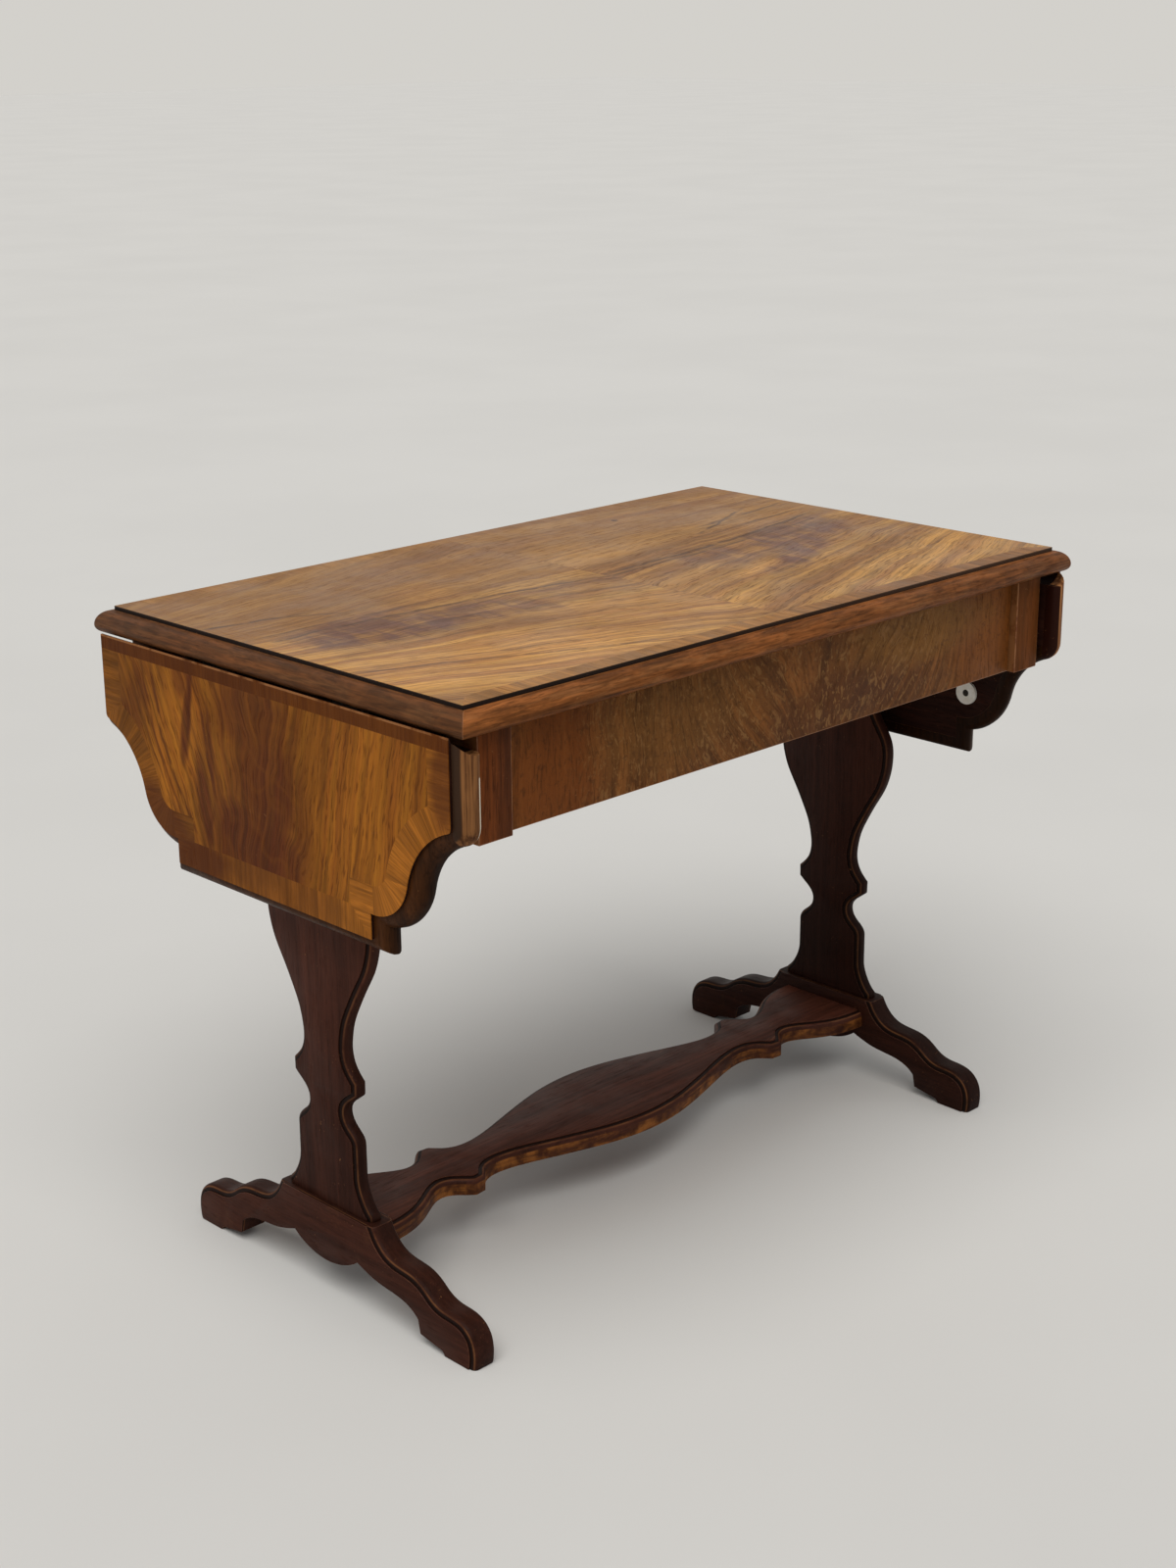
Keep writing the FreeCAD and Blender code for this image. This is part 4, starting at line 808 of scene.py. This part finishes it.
def stretcher_wear_and_painted_light(vector, tone):
    """The shelf's rounded edge is rubbed through to orange-brown wood; its worked edge gets dirt,
    painted shade and a painted highlight.
    """
    edge_full, edge_start = 0.0062, 0.005
    _, _, z = split(vector)
    _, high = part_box("stretcher_shelf")
    edge = faded(z, high.z - edge_full, high.z - edge_start)
    rubbed = spread(noise(stretch(vector, 9, 9, 70), 1, 5, 0.68, 0.8), 0.4, 0.6)
    worn = blend(spread(noise(vector, 70, 4, 0.6), 0.35, 0.65), (0.06, 0.018, 0.006),
                 (0.3, 0.105, 0.022))
    return blend(edge * rubbed, moulded_edge(vector, tone, high.z - z, 0.5), worn)


def leaf_edge_wear_and_painted_light(vector, tone):
    """Upright edges rubbed orange-brown, dirt and painted shade beside the banding, and a bare
    chip.
    """
    inner_face, outer_face = 0.338, 0.351
    left_turn, right_turn = (0.3487, 0.35), (0.3385, 0.3391)
    upright_in, upright_drop = 0.0125, 0.075
    chip_y, chip_x, chip_drops = 0.011, 0.014, (0.074, 0.025)
    x, y, z = split(vector)
    low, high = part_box("leaf_moulding_left")
    deep = abs(x)
    right = x > 0.0
    grain = spread(noise(stretch(vector, 300, 300, 13), 1, 4, 0.65), 0.36, 0.64)
    # Painted shade: darker towards the leaves' inner sides.
    tone = shaded(tone, spread(deep, inner_face, outer_face, 0.3, 1.0))
    rubbed = blend(grain, (0.075, 0.027, 0.01), (0.27, 0.116, 0.04))
    outer = spread(deep, *(mixed(right, *pair) for pair in zip(left_turn, right_turn)))
    # Left leaf: rubbed wood, and dirt with painted shade beside the outer face.
    left_wear_dirt_and_shade = blend(outer, rubbed, (0.04, 0.021, 0.012))
    # Right leaf: near-black painted shade on the inner face, and its rubbed strip brightened as
    # painted light.
    right_shade_and_lit_wear = blend(outer, (0.018, 0.004, 0.002), shaded(rubbed, 1.9))
    upright = (abs(y) > high.y - upright_in) * (z > high.z - upright_drop)
    tone = blend(upright * 0.9, tone, blend(right, left_wear_dirt_and_shade, right_shade_and_lit_wear))
    chip = (y < low.y + chip_y) * (x > low.x + chip_x) * (x < 0.0)
    chip = chip * (z > high.z - chip_drops[0]) * (z < high.z - chip_drops[1])
    return blend(chip * spread(noise(vector, 70, 3), 0.3, 0.5), tone, (0.74, 0.66, 0.52))


def post_lines(vector, tone):
    """The upright arrises of a corner post are rubbed to a thin pale line, which is also a painted
    highlight.
    """
    x, _, _ = split(vector)
    low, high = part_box("corner_post_right_front")
    near = maths("MINIMUM", abs(x) - low.x, high.x - abs(x))
    # Worn wood and a painted highlight along each arris.
    line = faded(near, 0.0007, 0.0013) * spread(noise(vector, 55, 4, 0.6), 0.32, 0.55)
    tone = blend(spread(x, -0.3, 0.3, 0.0, 0.45), shaded(tone, 0.9), (0.13, 0.046, 0.011))
    return blend(line * 0.6, tone, scaled(finish().bare, 0.85))


# Rubbed arrises, steel and plastic

def arris_material(name, base, share):
    """Edges rubbed through the stain in places."""
    usual_wear = 0.6

    def build(vector):
        rubbed = spread(noise(vector, 42, 5, 0.68, 0.5), 0.42, 0.62)
        rubbed = rubbed * (share * finish().wear / usual_wear)
        return {"Base Color": blend(rubbed, scaled(base, 1.25), finish().bare),
                "Roughness": rubbed * 0.2 + 0.36,
                "Normal": bumped(noise(vector, 300, 2), 0.2, 0.0003),
                "Specular IOR Level": 0.3}

    return shared_material(name, build)


def steel_material(name, base, rough, rust=(0.12, 0.065, 0.035)):
    """Aged steel with brown bloom."""
    def build(vector):
        bloom = spread(noise(vector, 190, 4, 0.6), 0.4, 0.66)
        scuffs = noise(stretch(vector, 200, 900, 200), 1, 3)
        return {"Base Color": blend(bloom, base, rust), "Roughness": bloom * 0.3 + rough,
                "Metallic": 0.95 - bloom * 0.6, "Normal": bumped(scuffs, 0.15, 0.0002)}

    return shared_material(name, build)


def disc_material():
    """Moulded white plastic with faint yellowing and fine scuffs."""
    def build(vector):
        aged = spread(noise(vector, 130, 3), 0.35, 0.7)
        return {"Base Color": blend(aged * 0.5, finish().disc, (0.62, 0.57, 0.46)),
                "Roughness": aged * 0.15 + 0.38,
                "Normal": bumped(noise(vector, 900, 2), 0.12, 0.0002)}

    return shared_material("White wear disc", build)


# Pieces

WELD_GAP = 0.00001
FLAT_ANGLE = math.radians(0.5)
ARRIS_SEGMENTS = 2


def choose(piece):
    """Make one object the only selected and the active one."""
    bpy.ops.object.select_all(action="DESELECT")
    piece.select_set(True)
    bpy.context.view_layer.objects.active = piece


def give(piece, *materials):
    """Put materials on an object in place of its own."""
    piece.data.materials.clear()
    for material in materials:
        piece.data.materials.append(material)


def dress(node, material):
    """Give a solid from the frame a better material."""
    give(NODES[node], material)


def eased(node, body_material, edge_material, sharp=40):
    """Stand a copy of a solid in its place, with its arrises over sharp degrees eased."""
    choose(NODES[node])
    bpy.ops.object.duplicate()
    piece = bpy.context.object
    piece.name = f"eased_{node}"
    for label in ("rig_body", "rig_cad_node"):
        if label in piece:
            del piece[label]
    piece.parent = None
    bpy.ops.object.mode_set(mode="EDIT")
    bpy.ops.mesh.select_all(action="SELECT")
    bpy.ops.mesh.remove_doubles(threshold=WELD_GAP)
    bpy.ops.mesh.dissolve_limited(angle_limit=FLAT_ANGLE)
    bpy.ops.mesh.customdata_custom_splitnormals_clear()
    bpy.ops.object.mode_set(mode="OBJECT")
    mark_arrises(piece, sharp)
    give(piece, body_material, edge_material)
    bevel = piece.modifiers.new("Eased arrises", "BEVEL")
    bevel.width = bpy.context.scene.table_sizes.arris
    bevel.segments = ARRIS_SEGMENTS
    bevel.limit_method = "WEIGHT"
    bevel.material = 1
    bpy.ops.object.modifier_apply(modifier=bevel.name)
    bpy.ops.object.shade_smooth_by_angle(angle=math.radians(sharp))
    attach(piece, BODY_OF[node])
    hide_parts(node)


def mark_arrises(piece, sharp):
    """Weight the outward edges whose faces meet at more than sharp degrees."""
    mesh = bmesh.new()
    mesh.from_mesh(piece.data)
    layers = mesh.edges.layers.float
    weight = layers.get("bevel_weight_edge") or layers.new("bevel_weight_edge")
    for edge in mesh.edges:
        outward = len(edge.link_faces) == 2 and edge.is_convex
        if outward and edge.calc_face_angle(0.0) > math.radians(sharp):
            edge[weight] = 1.0
    mesh.to_mesh(piece.data)
    mesh.free()


class TABLE_OT_top(bpy.types.Operator):
    """Finish the veneered top and its moulded lippings"""
    bl_idname = "coffee_table.top"
    bl_label = "Top"

    def execute(self, context):
        dress("top_veneer", top_field_material())
        dress("top_crossbanding", top_band_material())
        core = wood("Top core", finish().inner, "x", 0.45, rough=0.62, gloss=DULL,
                    wear=dirty_shaded_edge)
        dress("top_panel", core)
        edge = arris_material("Rubbed moulding arris", finish().moulding, 0.5)
        for name, axis in (("front", "x"), ("back", "x"), ("left", "y"), ("right", "y")):
            lip = wood(f"Moulding along {axis}", finish().moulding, axis, 0.7, rough=0.36,
                       mottle=0.35, wear=moulding_wear_and_painted_light)
            eased(f"top_moulding_{name}", lip, edge)
        return {"FINISHED"}


class TABLE_OT_leaves(bpy.types.Operator):
    """Finish the two drop leaves with their crossbanding and mouldings"""
    bl_idname = "coffee_table.leaves"
    bl_label = "Leaves"

    def execute(self, context):
        # Painted shade: the leaf core's wood is darkened.
        core = wood("Leaf core in painted shade", scaled(finish().trestle, 0.36), "y", rough=0.5)
        lip = wood("Leaf moulding", scaled(finish().moulding, 0.32), "z", 0.6, mottle=0.2,
                   wear=leaf_edge_wear_and_painted_light)
        edge = arris_material("Rubbed leaf arris", scaled(finish().moulding, 0.8), 0.6)
        for side in SIDES:
            dress(f"leaf_veneer_{side}", leaf_field_material(side))
            dress(f"leaf_crossbanding_{side}", leaf_band_material(side))
            dress(f"leaf_panel_{side}", core)
            eased(f"leaf_moulding_{side}", lip, edge)
        return {"FINISHED"}


class TABLE_OT_fittings(bpy.types.Operator):
    """Finish hinges, pins, screws and wear discs"""
    bl_idname = "coffee_table.fittings"
    bl_label = "Hinges and Discs"

    def execute(self, context):
        plate = steel_material("Hinge steel", finish().steel, 0.38)
        screw = steel_material("Screw steel", scaled(finish().steel, 0.7), 0.42)
        for side in SIDES:
            for name in ("hinge_fixed_plates", "hinge_leaf_plates", "hinge_pins"):
                dress(f"{name}_{side}", plate)
            dress(f"hinge_screws_leaf_{side}", screw)
            # Painted shade: the screws in the wear discs' holes are near black.
            dress(f"wear_disc_screws_{side}", steel_material(
                "Screw in painted shade", scaled(finish().steel, 0.12), 0.5, (0.02, 0.014, 0.01)))
            dress(f"wear_discs_{side}", disc_material())
        for name in ("hinge_screws_top", "top_fixing_screws"):
            dress(name, screw)
        return {"FINISHED"}


class TABLE_OT_frieze(bpy.types.Operator):
    """Finish the corner posts, rails and the frame inside"""
    bl_idname = "coffee_table.frieze"
    bl_label = "Frieze"

    def execute(self, context):
        post = wood("Post wood", finish().frame, "z", 0.75, rough=0.42, mottle=0.1,
                    wear=post_lines)
        rail = wood("End rail wood", finish().frame, "y", 0.55, rough=0.42)
        back = wood("Back rail wood", finish().frame, "x", 0.55, rough=0.42)
        edge = arris_material("Rubbed frieze arris", finish().frame, 1.0)
        for side in SIDES:
            for end in ENDS:
                eased(f"corner_post_{side}_{end}", post, edge)
            eased(f"end_rail_{side}", rail, edge)
        eased("back_rail", back, edge)
        lengthwise = wood("Inner rail wood", finish().inner, "x", rough=0.66, gloss=DULL)
        crosswise = wood("Runner wood", finish().inner, "y", rough=0.66, gloss=DULL)
        for name in ("front_rail_upper", "front_rail_lower", "back_batten"):
            eased(name, lengthwise, lengthwise)
        for name in ("drawer_runner_left", "drawer_runner_right", "drawer_stops"):
            eased(name, crosswise, crosswise)
        for side in SIDES:
            dress(f"loper_channels_{side}", lengthwise)
        return {"FINISHED"}


class TABLE_OT_lopers(bpy.types.Operator):
    """Finish the pull-out bars that carry the raised leaves"""
    bl_idname = "coffee_table.lopers"
    bl_label = "Lopers"

    def execute(self, context):
        base = scaled(finish().frame, 1.6)
        bar = wood("Loper wood", base, "x", rough=0.5, gloss=0.15, worn=0.3)
        edge = arris_material("Rubbed loper arris", base, 0.6)
        for side in SIDES:
            for end in ENDS:
                eased(f"loper_{side}_{end}", bar, edge)
        return {"FINISHED"}


class TABLE_OT_drawer(bpy.types.Operator):
    """Finish the frieze drawer"""
    bl_idname = "coffee_table.drawer"
    bl_label = "Drawer"

    def execute(self, context):
        edge = arris_material("Rubbed drawer arris", scaled(finish().drawer, 1.1), 0.85)
        eased("drawer_front", drawer_front_material(), edge)
        rubbed = arris_material("Rubbed lining arris", scaled(finish().inner, 0.9), 0.3)
        base = scaled(finish().inner, 1.05)
        for label, axis, names in (("Drawer lining", "y", ("side_left", "side_right")),
                                   ("Drawer back wood", "x", ("back", "bottom"))):
            lining = wood(label, base, axis, 0.45, rough=0.6, gloss=DULL)
            for name in names:
                eased(f"drawer_{name}", lining, rubbed)
        return {"FINISHED"}


class TABLE_OT_trestles(bpy.types.Operator):
    """Finish the shaped legs and feet"""
    bl_idname = "coffee_table.trestles"
    bl_label = "Trestles"

    def execute(self, context):
        leg = wood("Leg wood", finish().trestle, "z", 0.4, rough=0.4, mottle=0.15,
                   pore_depth=0.3, wear=upright_edge("leg_left", 0.35, 0.54, 1.25))
        foot = wood("Foot wood", scaled(finish().trestle, 0.77), "y", 0.4, rough=0.42,
                    mottle=0.15, worn=0.05, pore_depth=0.3, wear=upright_edge("foot_left", 0.45))
        edge = arris_material("Rubbed trestle arris", finish().trestle, 0.5)
        for side in SIDES:
            eased(f"leg_{side}", leg, edge, sharp=50)
            eased(f"foot_{side}", foot, edge, sharp=50)
        dowel = wood("Dowel wood", finish().inner, "z", 0.4, rough=0.7, gloss=DULL)
        dress("leg_dowels", dowel)
        return {"FINISHED"}


class TABLE_OT_stretcher(bpy.types.Operator):
    """Finish the shaped stretcher shelf"""
    bl_idname = "coffee_table.stretcher"
    bl_label = "Stretcher"

    def execute(self, context):
        board = wood("Stretcher wood", scaled(finish().trestle, 1.26), "x", rough=0.42,
                     gloss=0.08, board=0.7, pore_depth=0.3, wear=stretcher_wear_and_painted_light)
        edge = arris_material("Rubbed stretcher arris", finish().trestle, 0.7)
        eased("stretcher_shelf", board, edge, sharp=50)
        dowel = wood("Dowel wood across", finish().inner, "x", 0.4, rough=0.7, gloss=DULL)
        dress("stretcher_dowels", dowel)
        return {"FINISHED"}


# Stage

FLOOR_SIZE = 60
FLOOR_DROP = 0.0005


class TABLE_OT_stage(bpy.types.Operator):
    """Set up the floor, the lamp, the surroundings and the camera"""
    bl_idname = "coffee_table.stage"
    bl_label = "Stage"

    def execute(self, context):
        settings = context.scene.table_stage
        self.lay_floor(settings)
        self.light_up(context, settings)
        self.surround(context, settings)
        bpy.ops.object.camera_add(location=settings.camera_place, rotation=settings.camera_turn)
        camera = context.object
        camera.data.lens = settings.lens
        camera.data.sensor_width = 36
        camera.data.clip_start = 0.05
        camera.data.clip_end = 200
        context.scene.camera = camera
        context.scene.view_settings.view_transform = "Standard"
        return {"FINISHED"}

    def lay_floor(self, settings):
        """A plain pale floor just under the feet, very faintly clouded."""
        bpy.ops.object.select_all(action="DESELECT")
        bpy.ops.mesh.primitive_plane_add(size=FLOOR_SIZE, location=(0, 0, -FLOOR_DROP))
        floor = bpy.context.object
        floor.name = "pale_floor"
        bpy.ops.object.transform_apply(location=True, rotation=True, scale=True)

        def build(vector):
            cloud = spread(noise(vector, 1.6, 3, 0.55), 0.3, 0.7)
            return {"Base Color": blend(cloud, scaled(settings.floor, 0.985),
                                        scaled(settings.floor, 1.015)),
                    "Roughness": 0.8, "Specular IOR Level": 0.15}

        floor.data.materials.append(shared_material("Pale floor", build))

    def light_up(self, context, settings):
        """One broad soft lamp overhead."""
        bpy.ops.object.light_add(type="SUN", location=(-0.9, -0.7, 2.6))
        key = context.object
        key.name = "key_lamp"
        key.data.energy = settings.key
        key.data.angle = settings.key_spread
        key.rotation_euler = Vector(settings.key_from).to_track_quat("Z", "Y").to_euler()

    def surround(self, context, settings):
        """Pale surroundings that light the table, and look like the floor where they are seen."""
        world = bpy.data.worlds.new("Pale surroundings")
        context.scene.world = world
        world.use_nodes = True
        tree = world.node_tree
        tree.nodes.remove(tree.nodes["Background"])
        lit = added(tree, "Background", {"Color": (0.97, 0.98, 1.0), "Strength": settings.sky})
        seen = added(tree, "Background", {"Color": settings.floor,
                                          "Strength": settings.backdrop})
        rays = wires(tree, tree.nodes.new("ShaderNodeLightPath"))
        glancing = larger(rays["Is Glossy Ray"], rays["Is Transmission Ray"])
        pale = larger(rays["Is Camera Ray"], glancing)
        feed(added(tree, "MixShader", {0: pale, 1: lit, 2: seen}),
             tree.nodes["World Output"].inputs["Surface"])


class TABLE_PT_panel(bpy.types.Panel):
    """Coffee table pieces"""
    bl_idname = "TABLE_PT_panel"
    bl_label = "Coffee Table"
    bl_space_type = "VIEW_3D"
    bl_region_type = "UI"
    bl_category = "Coffee Table"

    def draw(self, context):
        for operator in PIECES:
            self.layout.operator(operator.bl_idname)
        for group in SETTINGS:
            settings = getattr(context.scene, group)
            for name in settings.bl_rna.properties.keys():
                if name not in ("rna_type", "name"):
                    self.layout.prop(settings, name)


PIECES = (TABLE_OT_top, TABLE_OT_leaves, TABLE_OT_fittings, TABLE_OT_frieze, TABLE_OT_lopers,
          TABLE_OT_drawer, TABLE_OT_trestles, TABLE_OT_stretcher, TABLE_OT_stage)
SETTINGS = {"table_finish": TableFinish, "table_sizes": TableSizes, "table_stage": StageSettings}
CLASSES = (*SETTINGS.values(), *PIECES, TABLE_PT_panel)


def register():
    for item in CLASSES:
        bpy.utils.register_class(item)
    for name, group in SETTINGS.items():
        setattr(bpy.types.Scene, name, bpy.props.PointerProperty(type=group))


def unregister():
    for name in SETTINGS:
        delattr(bpy.types.Scene, name)
    for item in reversed(CLASSES):
        bpy.utils.unregister_class(item)


def main():
    register()
    for operator in PIECES:
        group, name = operator.bl_idname.split(".")
        getattr(getattr(bpy.ops, group), name)()


if __name__ == "__main__":
    main()
